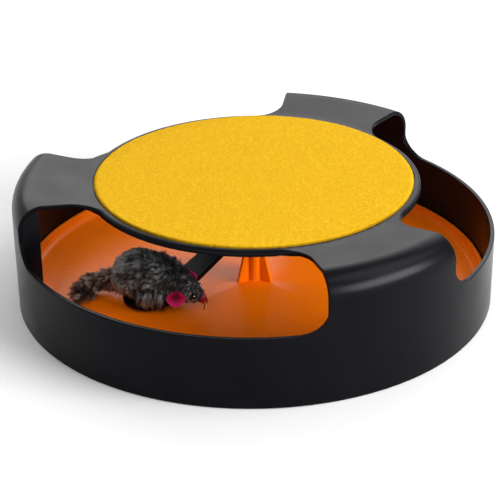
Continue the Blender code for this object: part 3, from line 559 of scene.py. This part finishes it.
def cover_mesh():
    """The cover in one: both skins of three sectors, the recess, its floor, the ribs and the screw bosses."""
    cage = bmesh.new()
    for middle in WINDOWS_AT:
        turn = Matrix.Rotation(middle, 3, "Z")
        outer, border_angle, border_travel = skin_rows(outer_line, COVER_RADIUS, inward=False)
        inner, *_ = skin_rows(inner_line, COVER_RADIUS - SHELL, inward=True)
        skins = [[[cage.verts.new(turn @ Vector(p)) for p in row] for row in rows] for rows in (outer, inner)]
        for rows in skins:
            for first, second in zip(rows, rows[1:]):
                strip(cage, first, second)
        strip(cage, skins[0][0], skins[1][0])
        outside, inside = skins[0][-1], skins[1][-1]
        count = len(outside)
        at_bottom = border_travel > TO_BOTTOM - HAIRLINE
        for i in range(count):
            j = (i + 1) % count
            if at_bottom[i] and at_bottom[j]:
                cage.faces.new((outside[i], outside[j], inside[j], inside[i]))
        top = sorted(np.flatnonzero(border_travel < HAIRLINE), key=lambda i: border_angle[i])
        for row, radii, height in ((outside, (RECESS_RADIUS, *RECESS_RINGS), RECESS_FLOOR),
                                   (inside, RECESS_RINGS, RIM_UNDERSIDE)):
            close_top(cage, turn, [row[i] for i in top], border_angle[top], radii, height)
    bmesh.ops.remove_doubles(cage, verts=cage.verts, dist=SECTOR_WELD)
    face_outward(cage)
    for angle in ARMS_AT:
        for start, aside, offset in ((RIB_START, SECTOR / 2 - WINDOW_HALF, RIB_ASIDE), (WEB_START, 0, 0)):
            outline = [(start, FITTINGS_BOTTOM), (COVER_RADIUS - SHELL / 2, FITTINGS_BOTTOM)]
            for radius in np.linspace(COVER_RADIUS - SHELL / 2, start, RIB_STEPS):
                outline.append((radius, under_shoulder(radius)))
            plate = prism(outline, RIB)
            plate.transform(Matrix.Rotation(angle + aside, 4, "Z") @ Matrix.Translation((0, offset, 0)))
            cage.from_mesh(plate)
        boss = screw_boss()
        boss.transform(Matrix.Rotation(angle, 4, "Z") @ Matrix.Translation((BOSS_CIRCLE, 0, 0)))
        cage.from_mesh(boss)
    return smooth_mesh(cage, "cover_shell")


new_piece("cover_shell", cover_mesh(), SHELL_FINISH, "black_plastic", "housing", "top_cover")


# The tray as moulded: a dished floor and a low rim
TRAY_RADIUS = 122.3 * MM
TRAY_INSIDE = 120.3 * MM
TRAY_FLOOR = 3.5 * MM
TRAY_UNDERSIDE = 1.5 * MM
TRACK_RADIUS = 108 * MM
TRACK_STEP = 2 * MM
TRACK_RISE = 0.08 * MM
FLOOR_RING = 60 * MM
COVE = 4.5 * MM
COVE_UP = TRAY_FLOOR + 1.2 * MM + COVE
TRAY_RIM = 9.5 * MM

# The post in its middle, whose spigot carries the hub, and the three fins that stiffen it
POST_START = 2.5 * MM
POST_FOOT = 4.9 * MM
POST_FILLET = 0.9 * MM
POST_FILLET_UP = TRAY_FLOOR + 0.85 * MM
POST_RADIUS = 3.9 * MM
POST_TOP = 31 * MM
POST_EDGE = (0.2 * MM, 0.3 * MM)
SPIGOT_RADIUS = 3 * MM
SPIGOT_TOP = 44.4 * MM
SPIGOT_EDGE = 0.2 * MM
PIVOT_HOLE_BOTTOM = 35.5 * MM
FIN = 1.8 * MM
FIN_BOTTOM = 2.6 * MM
FIN_TOP = 30.5 * MM
FIN_IN = 1 * MM
FIN_FOOT = 10.83 * MM
FIN_TIP = 3.6 * MM

# The turrets that the cover's screws go up through, past a seat for the screw's head
TURRET_RADIUS = 4.5 * MM
TURRET_TOP = 9.7 * MM
TURRET_EDGE = 0.3 * MM
HEAD_HOLE = 3.1 * MM
HEAD_SEAT = 6.7 * MM
# Holes run on past the face that they open in, turned so that none of their edges lies on one of that face
PAST_SPIGOT = 48 * MM
PAST_TURRET = 20 * MM
HOLE_TURN = Matrix.Rotation(radians(2), 4, "Z")


def arc(centre, radius, start, end, steps):
    """Points on an arc between two angles in degrees."""
    angles = [radians(start + (end - start) * i / steps) for i in range(steps + 1)]
    return [(centre[0] + radius * cos(a), centre[1] + radius * sin(a)) for a in angles]


def solid(mesh, place):
    """An object for shaping others."""
    mesh.transform(place)
    return new_object("solid", mesh)


def turned_solid(line, steps, place=Matrix()):
    """An object for shaping others, turned about Z from (radius, height) points."""
    return solid(mesh_of(revolve(line, steps), "solid"), place)


def shaped(base, joined, cut):
    """The mesh of a base with other solids joined on and cut out, which all go afterwards."""
    for operation, tools in (("UNION", joined), ("DIFFERENCE", cut)):
        for tool in tools:
            step = base.modifiers.new("shape", "BOOLEAN")
            step.operation = operation
            step.solver = "EXACT"
            step.object = tool
    mesh = worked_mesh(base)
    for used in [base] + joined + cut:
        bpy.data.objects.remove(used)
    cage = bmesh.new()
    cage.from_mesh(mesh)
    bmesh.ops.remove_doubles(cage, verts=cage.verts, dist=HAIRLINE)
    return smooth_mesh(cage, "shaped")


def tray_mesh():
    """The tray in one: its floor rises a little to the track's edge, then rounds up into the rim."""
    cove = (TRAY_INSIDE - COVE, COVE_UP)
    under = COVE + TRAY_RADIUS - TRAY_INSIDE
    soft = TRAY_RIM - COVE_UP
    line = [(0, TRAY_FLOOR), (FLOOR_RING, TRAY_FLOOR), (TRACK_RADIUS - TRACK_STEP, TRAY_FLOOR),
            (TRACK_RADIUS, TRAY_FLOOR + TRACK_RISE)]
    line += arc(cove, COVE, -90, 0, 12)
    line += arc((TRAY_INSIDE + soft, COVE_UP), soft, 180, 90, 4)[1:]
    line += arc((TRAY_RADIUS - soft, COVE_UP), soft, 90, 0, 4)[:-1]
    line += arc(cove, under, 0, -90, 8)
    line += [(TRACK_RADIUS, TRAY_UNDERSIDE), (0, TRAY_UNDERSIDE)]
    tray = turned_solid(line, 240)

    edge_in, edge_down = POST_EDGE
    post = [(0, POST_START), (POST_FOOT, POST_START)]
    post += arc((POST_FOOT, POST_FILLET_UP), POST_FILLET, -90, -180, 4)
    post += [(POST_RADIUS, POST_TOP - edge_down), (POST_RADIUS - edge_in, POST_TOP)]
    post += [(SPIGOT_RADIUS, POST_TOP), (SPIGOT_RADIUS, SPIGOT_TOP - SPIGOT_EDGE),
             (SPIGOT_RADIUS - SPIGOT_EDGE, SPIGOT_TOP), (0, SPIGOT_TOP)]
    joined = [turned_solid(post, 48)]
    fin = [(FIN_IN, FIN_BOTTOM), (FIN_FOOT, FIN_BOTTOM), (FIN_TIP, FIN_TOP), (FIN_IN, FIN_TOP)]
    for index in range(3):
        joined.append(solid(prism(fin, FIN), Matrix.Rotation(radians(90 + 120 * index), 4, "Z")))

    hole = [(0, PIVOT_HOLE_BOTTOM), (SCREW_HOLE, PIVOT_HOLE_BOTTOM), (SCREW_HOLE, PAST_SPIGOT),
            (0, PAST_SPIGOT)]
    cut = [turned_solid(hole, 32, HOLE_TURN)]
    turret = [(0, TRAY_UNDERSIDE), (TURRET_RADIUS, TRAY_UNDERSIDE), (TURRET_RADIUS, TURRET_TOP - TURRET_EDGE),
              (TURRET_RADIUS - TURRET_EDGE, TURRET_TOP), (0, TURRET_TOP)]
    hole = [(0, 0), (HEAD_HOLE, 0), (HEAD_HOLE, HEAD_SEAT), (SCREW_HOLE, HEAD_SEAT),
            (SCREW_HOLE, PAST_TURRET), (0, PAST_TURRET)]
    for angle in ARMS_AT:
        place = Matrix.Translation((BOSS_CIRCLE * cos(angle), BOSS_CIRCLE * sin(angle), 0))
        joined.append(turned_solid(turret, 48, place))
        cut.append(turned_solid(hole, 40, place @ HOLE_TURN))
    return shaped(tray, joined, cut)


new_piece("orange_tray", tray_mesh(), TRAY_FINISH, "orange_plastic", "housing", "base_tray")


# The carpet's top: tufts as (size, height), a slow swell, a rounded edge and a frayed outline
PAD_CELLS = 150
TUFTS = ((1.5 * MM, 0.16 * MM), (3.4 * MM, 0.12 * MM))
SWELL_SIZE = 30 * MM
SWELL = 0.18 * MM
PAD_ROUNDING = 0.9 * MM
FRAY_SIZE = 2.2 * MM
FRAY = 0.2 * MM
# It is pressed down in a soft band along its edge at the back left, as in the photo
BAND_AT = radians(130)
BAND_HALF = radians(48)
BAND_WIDTH = 9 * MM
BAND_DEPTH = 0.75 * MM


def carpet_place(u, v):
    """The place on the carpet's top for a place on a square from -1 to 1."""
    x, y = u * sqrt(1 - v * v / 2), v * sqrt(1 - u * u / 2)
    place = Vector((x, y, 0)) * PAD_RADIUS
    far = min(hypot(x, y), 1)
    inward = (1 - far) * PAD_RADIUS
    tangles = sum(noise.noise(place / size) * height for size, height in TUFTS)
    swell = noise.noise(place / SWELL_SIZE + Vector((3, 1, 0))) * SWELL
    fall = PAD_ROUNDING * (1 - sqrt(max(1 - (1 - min(inward / PAD_ROUNDING, 1)) ** 2, 0)))
    band = max(0, 1 - ((atan2(y, x) - BAND_AT) / BAND_HALF) ** 2)
    pressed = max(0, 1 - inward / BAND_WIDTH) * band * BAND_DEPTH
    fray = 1 - FRAY / PAD_RADIUS * (1 + noise.noise(place / FRAY_SIZE + Vector((0, 5, 0)))) * far ** 8
    return place.x * fray, place.y * fray, PAD_TOP + tangles + swell - pressed - fall


def pad_mesh():
    """The carpet: a fine lumpy top on a square grid drawn out to a disc, a cut edge and a flat back."""
    cage = bmesh.new()
    across = [2 * i / PAD_CELLS - 1 for i in range(PAD_CELLS + 1)]
    rows = [[cage.verts.new(carpet_place(u, v)) for v in across] for u in across]
    for i in range(PAD_CELLS):
        for j in range(PAD_CELLS):
            cage.faces.new((rows[i][j], rows[i + 1][j], rows[i + 1][j + 1], rows[i][j + 1]))
    border = [e for e in cage.edges if len(e.link_faces) == 1]
    low = bmesh.ops.extrude_edge_only(cage, edges=border)["geom"]
    for corner in [g for g in low if isinstance(g, bmesh.types.BMVert)]:
        corner.co.z = PAD_BOTTOM
    rim = [e for e in cage.edges if len(e.link_faces) == 1]
    bmesh.ops.contextual_create(cage, geom=rim)
    face_outward(cage)
    return smooth_mesh(cage, "carpet_pad", 50)


new_piece("carpet_pad", pad_mesh(), CARPET, "yellow_carpet", "housing", "scratch_pad")


# The rotor's arm has its sharp edges broken, as a moulding tool leaves them
broken = NODES["rotor_arm"].modifiers.new("broken_edges", "BEVEL")
broken.width = 0.35 * MM
broken.segments = 3
broken.limit_method = "ANGLE"
broken.angle_limit = radians(40)
broken.harden_normals = True


# The stuffed forms in mm. The body's rings: along, half width, lowest, highest
BODY_RINGS = ((-17.2, 3, 6, 11.5), (-16, 6.8, 3, 16.2), (-13.2, 9.8, 1, 20), (-9, 11.6, 0.4, 22.6),
              (-3, 12.2, 0.3, 23.6), (4, 12, 0.3, 23.4), (10, 11.2, 0.6, 22.8), (14.5, 9.8, 2.4, 21.4),
              (18.5, 7.9, 4.6, 19.2), (21.5, 5.2, 7.4, 16.2), (22.8, 2, 9.6, 13.6))
BODY_CLEAR = 0.3 * MM
# The head's size, and its rings as shares of it: along, and half width and half height alike
HEAD_LENGTH, HEAD_WIDTH, HEAD_HEIGHT = 20 * MM, 15 * MM, 14 * MM
HEAD_RINGS = ((-0.5, 0.25), (-0.44, 0.6), (-0.3, 0.9), (-0.12, 1), (0.06, 0.92), (0.2, 0.74), (0.34, 0.52),
              (0.44, 0.36), (0.48, 0.2))
# The tail's size and rings: back and right as shares of its length, height in mm, and share of its radius
TAIL_START, TAIL_LENGTH, TAIL_RADIUS = -14.06 * MM, 32 * MM, 3.7 * MM
TAIL_RINGS = ((0, 0, 4.6, 0.9), (0.1, 0, 4.6, 1), (0.21, 0, 4.4, 1), (0.32, 0.01, 3.6, 0.98),
              (0.42, 0.04, 2.6, 0.95), (0.5, 0.12, 1.6, 0.92), (0.56, 0.25, 0.7, 0.88), (0.57, 0.39, 0, 0.8),
              (0.55, 0.52, -0.4, 0.6), (0.53, 0.6, -0.6, 0.25))
LUMP_SIZE = 9 * MM


def loft(name, rings, place, sides, lumps, seed):
    """A closed soft form through rings of (centre, way along, half width, half height), fine and lumpy."""
    cage = bmesh.new()
    last = None
    for centre, forward, across, up in rings:
        centre, forward = Vector(centre), Vector(forward).normalized()
        side = Vector((0, 0, 1)).cross(forward).normalized()
        top = forward.cross(side)
        ring = [cage.verts.new(centre + side * across * cos(a) + top * up * sin(a))
                for a in around(sides)]
        if last:
            strip(cage, last, ring)
        else:
            cage.faces.new(list(reversed(ring)))
        last = ring
    cage.faces.new(last)
    face_outward(cage)
    coarse = new_object(name, mesh_of(cage, name))
    finer = coarse.modifiers.new("finer", "SUBSURF")
    finer.levels = finer.render_levels = 1
    fine = worked_mesh(coarse)
    bpy.data.objects.remove(coarse)
    fine.transform(place)
    fine.update()
    for vertex in fine.vertices:
        push = noise.noise(vertex.co / LUMP_SIZE + Vector((seed, 0, 0)))
        vertex.co += vertex.normal * push * lumps
    fine.shade_smooth()
    return fine


def body_skin():
    """The body: a hump that rises fast at the rump, stays high over the shoulders and falls to the neck."""
    rings = []
    for along, half_width, bottom, top in BODY_RINGS:
        centre = Vector((along, 0, (top + bottom) / 2)) * MM
        rings.append((centre, (1, 0, 0), half_width * MM, (top - bottom) / 2 * MM))
    mesh = loft("mouse_body_skin", rings, MOUSE, sides=24, lumps=0.8 * MM, seed=3)
    for vertex in mesh.vertices:
        vertex.co.z = max(vertex.co.z, PLATE_TOP + BODY_CLEAR)
    return mesh


def head_skin():
    """The head: round behind, narrowing to the nose."""
    rings = [((along * HEAD_LENGTH, 0, 0), (1, 0, 0), HEAD_WIDTH / 2 * share, HEAD_HEIGHT / 2 * share)
             for along, share in HEAD_RINGS]
    return loft("mouse_head_skin", rings, HEAD, sides=20, lumps=0.4 * MM, seed=8)


def tail_skin():
    """The tail: a thick roll of fur that drops to the plate's height and bends to the mouse's right."""
    centres = [Vector((TAIL_START - back * TAIL_LENGTH, -right * TAIL_LENGTH, up * MM))
               for back, right, up, share in TAIL_RINGS]
    rings = []
    for i, (place, ring) in enumerate(zip(centres, TAIL_RINGS)):
        before, after = centres[max(i - 1, 0)], centres[min(i + 1, len(centres) - 1)]
        rings.append((place, after - before, TAIL_RADIUS * ring[3], TAIL_RADIUS * ring[3]))
    return loft("mouse_tail_skin", rings, MOUSE, sides=16, lumps=0.5 * MM, seed=5)


# How a hair stands: up from the skin, leaning with its lock, waving with its neighbours, and astray
STANDS, LOCK_LEANS, WAVES, STRAYS = 0.8, 0.26, 0.7, 0.1
WAVE_SIZE = 7 * MM
LEAST_RISE = 0.25
ROOT_DEPTH = 0.3 * MM
# Past its knee it is combed once more, sags and strays again, and gathers towards its lock's middle hair
COMBED_AGAIN, STRAYS_AGAIN = 0.7, 0.12
KNEES_GATHER, TIPS_GATHER = 0.2, 0.42
# The spread of lengths and widths, and the width at the knee as a share of the root's
LENGTHS, WIDTHS = (0.65, 1.15), (0.7, 1.3)
KNEE_WIDTH = 0.76
# A hair's tone: the middle one, and how far patches, locks and single hairs leave it
TONE, PATCH_TONE, LOCK_TONE, HAIR_TONE = 0.45, 0.6, 0.24, 0.13
PATCH_SIZE = 6 * MM
# A hair's seven corners are three at its root, three at its knee and its tip, at these shares of the way up
UP_THE_HAIR = (0.1, 0.1, 0.1, 0.7, 0.7, 0.7, 1.0)
HAIR_FACES = ((0, 2, 1), (0, 1, 4, 3), (1, 2, 5, 4), (2, 0, 3, 5), (3, 4, 6), (4, 5, 6), (5, 3, 6))

# The ways that hair is combed: back along the body and down its sides, out past the plate's edge before it
# falls, and behind the tail in wisps
ALONG_BODY = np.array(MOUSE.to_3x3() @ Vector((-1, 0, 0))) * 0.5 + np.array([0, 0, -0.35])
OVER_PLATE = np.array(MOUSE.to_3x3() @ Vector((0.1, -0.7, 0))) + np.array([0, 0, -0.1])
LOOSE = np.array(MOUSE.to_3x3() @ Vector((-0.35, -0.25, 0.05)))


def unit(rows):
    """Each row of an array made one long."""
    return rows / np.linalg.norm(rows, axis=1)[:, None]


def scatter(skin, count, chance, where):
    """Roots for hairs on a skin and the way up from each, at random by area and by how thick they grow."""
    skin.calc_loop_triangles()
    corners = np.array([t.vertices for t in skin.loop_triangles])
    points = np.array([v.co for v in skin.vertices])
    normals = np.array([v.normal for v in skin.vertices])
    a, b, c = points[corners[:, 0]], points[corners[:, 1]], points[corners[:, 2]]
    areas = np.linalg.norm(np.cross(b - a, c - a), axis=1)
    if where:
        areas = areas * np.array([where(INTO_MOUSE @ Vector(p)) for p in (a + b + c) / 3])
    chosen = corners[chance.choice(len(corners), count, p=areas / areas.sum())]
    u, v = chance.random(count), chance.random(count)
    over = u + v > 1
    u[over], v[over] = 1 - u[over], 1 - v[over]
    weights = np.stack([1 - u - v, u, v], axis=1)[:, :, None]
    return (points[chosen] * weights).sum(axis=1), unit((normals[chosen] * weights).sum(axis=1))


def crosses(tree, start, end):
    """Whether a straight stretch runs through a tree's faces."""
    way = Vector(end - start)
    return tree.ray_cast(Vector(start), way.normalized(), way.length)[0] is not None


def hair_mesh(name, roots, knees, tips, across, along, widths, tones):
    """A mesh of three-sided hairs, with each corner's tone and its share of the way up the hair."""
    total, corners = len(roots), len(UP_THE_HAIR)
    vertices = np.empty((total, corners, 3))
    for k, turn in enumerate(around(3)):
        out = across * cos(turn) + along * sin(turn)
        vertices[:, k] = roots + out * widths / 2
        vertices[:, 3 + k] = knees + out * widths / 2 * KNEE_WIDTH
    vertices[:, 6] = tips
    faces = [tuple(i * corners + k for k in face) for i in range(total) for face in HAIR_FACES]
    mesh = bpy.data.meshes.new(name)
    mesh.from_pydata(vertices.reshape(-1, 3).tolist(), [], faces)
    for attribute, values in (("tip", np.tile(UP_THE_HAIR, total)), ("tone", np.repeat(tones, corners))):
        made = mesh.attributes.new(attribute, "FLOAT", "POINT")
        made.data.foreach_set("value", values.astype(np.float32))
    mesh.shade_smooth()
    return mesh


def hairs(name, skin, count, length, width, comb, seed, keep_clear, droop=0.35, lock=10, where=None,
          paler=None):
    """Tapered hairs on a skin, combed one way and drawn into locks, less those that would cut a neighbour."""
    chance = np.random.default_rng(seed)
    roots, ups = scatter(skin, count, chance, where)
    # Each lock gathers the hairs that stand nearest to its middle hair, and leans its own way
    middles = np.arange(0, count, lock)
    nearest = np.argmin(((roots[:, None] - roots[None, middles]) ** 2).sum(axis=2), axis=1)
    waves = np.array([[noise.noise(Vector(p) / WAVE_SIZE + Vector((k * 17, seed, 0))) for k in range(3)]
                      for p in roots])
    leans = chance.normal(0, LOCK_LEANS, (len(middles), 3))[nearest] + waves * WAVES
    ways = unit(ups * STANDS + comb + leans + chance.normal(0, STRAYS, (count, 3)))
    # A hair that would lie inside the skin is lifted out of it
    inward = np.minimum((ways * ups).sum(axis=1) - LEAST_RISE, 0)
    ways = unit(ways - ups * inward[:, None])
    lengths = length * chance.uniform(*LENGTHS, count)[:, None]
    sag = np.array([0, 0, -droop])
    bends = unit(ways + comb * COMBED_AGAIN + sag + chance.normal(0, STRAYS_AGAIN, (count, 3)))
    knees = roots + ways * lengths * 0.5
    tips = knees + bends * lengths * 0.5
    knees += (knees[middles][nearest] - knees) * KNEES_GATHER
    tips += (tips[middles][nearest] - tips) * TIPS_GATHER
    roots = roots - ups * ROOT_DEPTH
    keep = np.array([i for i in range(count)
                     if not any(crosses(tree, roots[i], knees[i]) or crosses(tree, knees[i], tips[i])
                                for tree in keep_clear)])
    roots, knees, tips, ways = roots[keep], knees[keep], tips[keep], ways[keep]
    total = len(keep)
    across = unit(np.cross(ways, chance.normal(0, 1, (total, 3))))
    widths = width * chance.uniform(*WIDTHS, total)[:, None]
    patches = np.array([noise.noise(Vector(p) / PATCH_SIZE + Vector((0, 0, seed))) for p in roots])
    locks = chance.normal(0, LOCK_TONE, len(middles))[nearest[keep]]
    tones = TONE + patches * PATCH_TONE + locks + chance.normal(0, HAIR_TONE, total)
    if paler:
        tones += np.array([paler(INTO_MOUSE @ Vector(p)) for p in roots])
    return hair_mesh(name, roots, knees, tips, across, np.cross(ways, across), widths, np.clip(tones, 0, 1))


def tree_of(mesh):
    """A search tree of a mesh's faces."""
    mesh.calc_loop_triangles()
    corners = [tuple(t.vertices) for t in mesh.loop_triangles]
    return BVHTree.FromPolygons([v.co.copy() for v in mesh.vertices], corners)


def near_belly(place):
    """How thick the long belly hair grows at a place: only low on the mouse's right side, under its chest."""
    low, high, right, chest, reach = 1.5 * MM, 9 * MM, -5 * MM, 8 * MM, 7 * MM
    grows = low < place.z < high and place.y < right
    return max(0, 1 - abs(place.x - chest) / reach) if grows else 0


def pale_rump_shaded_neck(place):
    """How much paler the fur is at a place: the rump is the greyest part, and towards the neck the fur is
    darker, a painted shade.
    """
    most, rump, neck_shade = 0.42, 14 * MM, -0.2
    return most * min(max(-place.x / rump, neck_shade), 1)


# The felt ears: their cup, the rim's wave, the right one's fold, and where each sits on the head in mm
EAR_RADIUS, EAR_DEPTH, FELT_THICK = 4.7 * MM, 2.6 * MM, 0.8 * MM
EAR_AROUND, EAR_RINGS = 40, 8
EAR_WAVE = 0.6 * MM
EAR_FOLD, EAR_FOLD_HALF = 1.1 * MM, 0.8 * MM
EAR_BACK, EAR_ASIDE, EAR_LOW, EAR_LOWER_BY = 2.4, 7.9, 1.1, 0.5
# The nose's half length, half width and half height in mm, its groove, its taper, and how low it sits
NOSE_HALVES = (2.0, 2.3, 2.9)
NOSE_GROOVE, NOSE_TAPER = 0.22, 0.16
NOSE_LOWER = 0.4 * MM


def ear_point(share, angle, lift, side):
    """A point on one skin of an ear, a share of the way out from the middle of its cup."""
    flare = 1 + 0.07 * sin(2 * angle + 1) + 0.03 * sin(3 * angle)
    x, y = EAR_RADIUS * share * flare * cos(angle), EAR_RADIUS * share * flare * sin(angle)
    bowl = EAR_DEPTH * share ** 1.8 + EAR_WAVE * share * sin(3 * angle + side)
    fold = EAR_FOLD * exp(-(x / EAR_FOLD_HALF) ** 2) * share if y > 0 > side else 0
    return x, y, lift * (1 - 0.45 * share) + bowl - fold


def ear_skin(side):
    """A felt ear: a cup with a thin wavy rim. The right one, on side -1, has a fold in its upper half."""
    facing = Vector((0.35, side * 0.9, 0.25)).to_track_quat("Z", "Y").to_matrix().to_4x4()
    seat = Vector((-EAR_BACK, side * EAR_ASIDE, -EAR_LOW - side * EAR_LOWER_BY)) * MM
    cage = bmesh.new()
    rims = []
    for lift in (FELT_THICK, 0):
        middle = cage.verts.new((0, 0, lift))
        rows = [[cage.verts.new(ear_point(k / EAR_RINGS, a, lift, side)) for a in around(EAR_AROUND)]
                for k in range(1, EAR_RINGS + 1)]
        for i in range(EAR_AROUND):
            cage.faces.new((middle, rows[0][i - 1], rows[0][i]))
        for inner, outer in zip(rows, rows[1:]):
            strip(cage, inner, outer)
        rims.append(rows[-1])
    strip(cage, *rims)
    face_outward(cage)
    mesh = smooth_mesh(cage, "ear_skin", 60)
    # How far out from the cup's middle each corner is, which fades the felt's painted shade
    cup_shade_fade = [min(hypot(v.co.x, v.co.y) / EAR_RADIUS, 1) ** 1.6 for v in mesh.vertices]
    mesh.attributes.new("out", "FLOAT", "POINT").data.foreach_set("value", cup_shade_fade)
    mesh.transform(HEAD @ Matrix.Translation(seat) @ facing)
    return mesh


def nose_bead():
    """The nose: an upright egg of a bead with a shallow groove down its front."""
    cage = bmesh.new()
    bmesh.ops.create_uvsphere(cage, u_segments=40, v_segments=24, radius=1)
    deep, wide, tall = NOSE_HALVES
    for corner in cage.verts:
        x, y, z = corner.co
        groove = NOSE_GROOVE * exp(-(y / NOSE_GROOVE) ** 2) * max(x, 0)
        slim = 1 - NOSE_TAPER * z
        corner.co = Vector(((x - groove) * deep * slim, y * wide * slim, z * tall)) * MM
    mesh = smooth_mesh(cage, "nose_bead", 60)
    low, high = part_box("mouse_nose")
    middle = (Vector(low) + Vector(high)) / 2 - Vector((0, 0, NOSE_LOWER))
    mesh.transform(Matrix.Translation(middle) @ Matrix.Rotation(MOUSE_HEADING, 4, "Z"))
    return mesh


# Each part's hairs: how many, their length and width in mm, their comb, their finish, how many share a lock,
# and what makes some paler and others darker with a painted shade
FUR_OF = {"body": (18000, 3.6, 0.24, ALONG_BODY, FUR, 10, pale_rump_shaded_neck),
          "head": (5200, 1.7, 0.26, ALONG_BODY, FUR, 10, None),
          "tail": (5600, 5.2, 0.26, LOOSE, TAIL_FUR, 16, None)}


def make_mouse():
    """Skins that stand for the stuffed CAD solids, felt ears, and fur that misses all hard pieces."""
    right = new_piece("right_felt_ear", ear_skin(-1), FELT, "pink_felt", "rotor", "right_ear")
    left = new_piece("left_felt_ear", ear_skin(1), FELT, "pink_felt", "rotor", "left_ear")
    nose = new_piece("nose_bead", nose_bead(), RED_NOSE, "red_plastic", "rotor", "mouse_nose")
    skins = {"body": body_skin(), "head": head_skin(), "tail": tail_skin()}
    hard = [NODES[name] for name in ("rotor_arm", "base_tray", "left_eye", "right_eye")]
    hard = [tree_of(piece.data) for piece in hard + [right, left, nose]]
    trees = {part: tree_of(skin) for part, skin in skins.items()}
    for seed, (part, settings) in enumerate(FUR_OF.items(), 21):
        count, length, width, comb, finish, lock, paler = settings
        others = [tree for name, tree in trees.items() if name != part]
        fur = hairs(f"mouse_{part}_fur", skins[part], count, length * MM, width * MM, comb, seed,
                    hard + others, lock=lock, paler=paler)
        under = new_piece(f"mouse_{part}_skin", skins[part], BACKING, "grey_fur", "rotor", f"mouse_{part}")
        new_piece(f"mouse_{part}_fur", fur, finish, "grey_fur", "rotor")
    belly = hairs("mouse_belly_fur", skins["body"], 1300, 7.5 * MM, 0.34 * MM, OVER_PLATE, 30, hard,
                  droop=1.4, where=near_belly)
    new_piece("mouse_belly_fur", belly, FUR, "grey_fur", "rotor")


make_mouse()


def turned(one, other, angle):
    """Two ways at right angles, turned in their plane from the one towards the other."""
    return one * cos(angle) + other * sin(angle), other * cos(angle) - one * sin(angle)


def make_camera():
    """The camera at the photograph's viewing angle."""
    forward = -CAMERA_PLACE.normalized()
    right = Vector((1, 0, 0))
    up = right.cross(forward)
    forward, right = turned(forward, right, CAMERA_YAW)
    forward, up = turned(forward, up, CAMERA_PITCH)
    right, up = turned(right, up, CAMERA_ROLL)
    lens = bpy.data.cameras.new("camera")
    lens.lens = LENS_LENGTH
    lens.sensor_width = SENSOR_WIDTH
    lens.clip_start = NEAREST_SEEN
    camera = new_object("camera", lens)
    facing = Matrix((right, up, -forward)).transposed().to_4x4()
    camera.matrix_world = Matrix.Translation(CAMERA_PLACE) @ facing
    bpy.context.scene.camera = camera


# The studio: each soft box's place, the point that it faces and its size in metres, and its power in watts
SOFT_BOXES = {"back_light": ((0, 1.38, 0.97), (0, 0, 0.02), (2.6, 1.0), 26.5),
              "right_light": ((1.26, -0.72, 0.58), (0, 0, 0.03), (1.0, 0.6), 43),
              "high_right_light": ((0.87, -0.12, 1.2), (0, 0, 0.03), (0.8, 0.8), 8.5),
              "front_light": ((-0.35, -1.25, 0.95), (0, 0, 0.02), (1.5, 0.7), 6.5)}
ROOM_STRENGTH = 0.65
FLOOR_RADIUS = 6


def make_studio():
    """A plain pale floor, a pale room, and soft boxes behind, at the right and in front."""
    cage = bmesh.new()
    bmesh.ops.create_circle(cage, cap_ends=True, segments=64, radius=FLOOR_RADIUS)
    floor = new_object("floor", mesh_of(cage, "floor"))
    # Rolled matt paper, one even pale tone
    paper = plain_finish("white_paper_floor", "c9c9c9", "cbcbcb", 200 * MM, 0.9, bump=0, specular=0.1)
    floor.data.materials.append(paper)
    world = bpy.data.worlds.new("room")
    bpy.context.scene.world = world
    world.use_nodes = True
    pale = world.node_tree.nodes["Background"]
    wire(world.node_tree, pale, {"Color": "ffffff", "Strength": ROOM_STRENGTH})
    for name, (place, aim, size, power) in SOFT_BOXES.items():
        lamp = bpy.data.lights.new(name, "AREA")
        lamp.shape = "RECTANGLE"
        lamp.size, lamp.size_y = size
        lamp.energy = power
        box = new_object(name, lamp)
        box.location = place
        box.rotation_mode = "QUATERNION"
        box.rotation_quaternion = (Vector(aim) - Vector(place)).to_track_quat("-Z", "Y")
        box.visible_camera = False
    bpy.context.scene.view_settings.view_transform = "Standard"


make_camera()
make_studio()
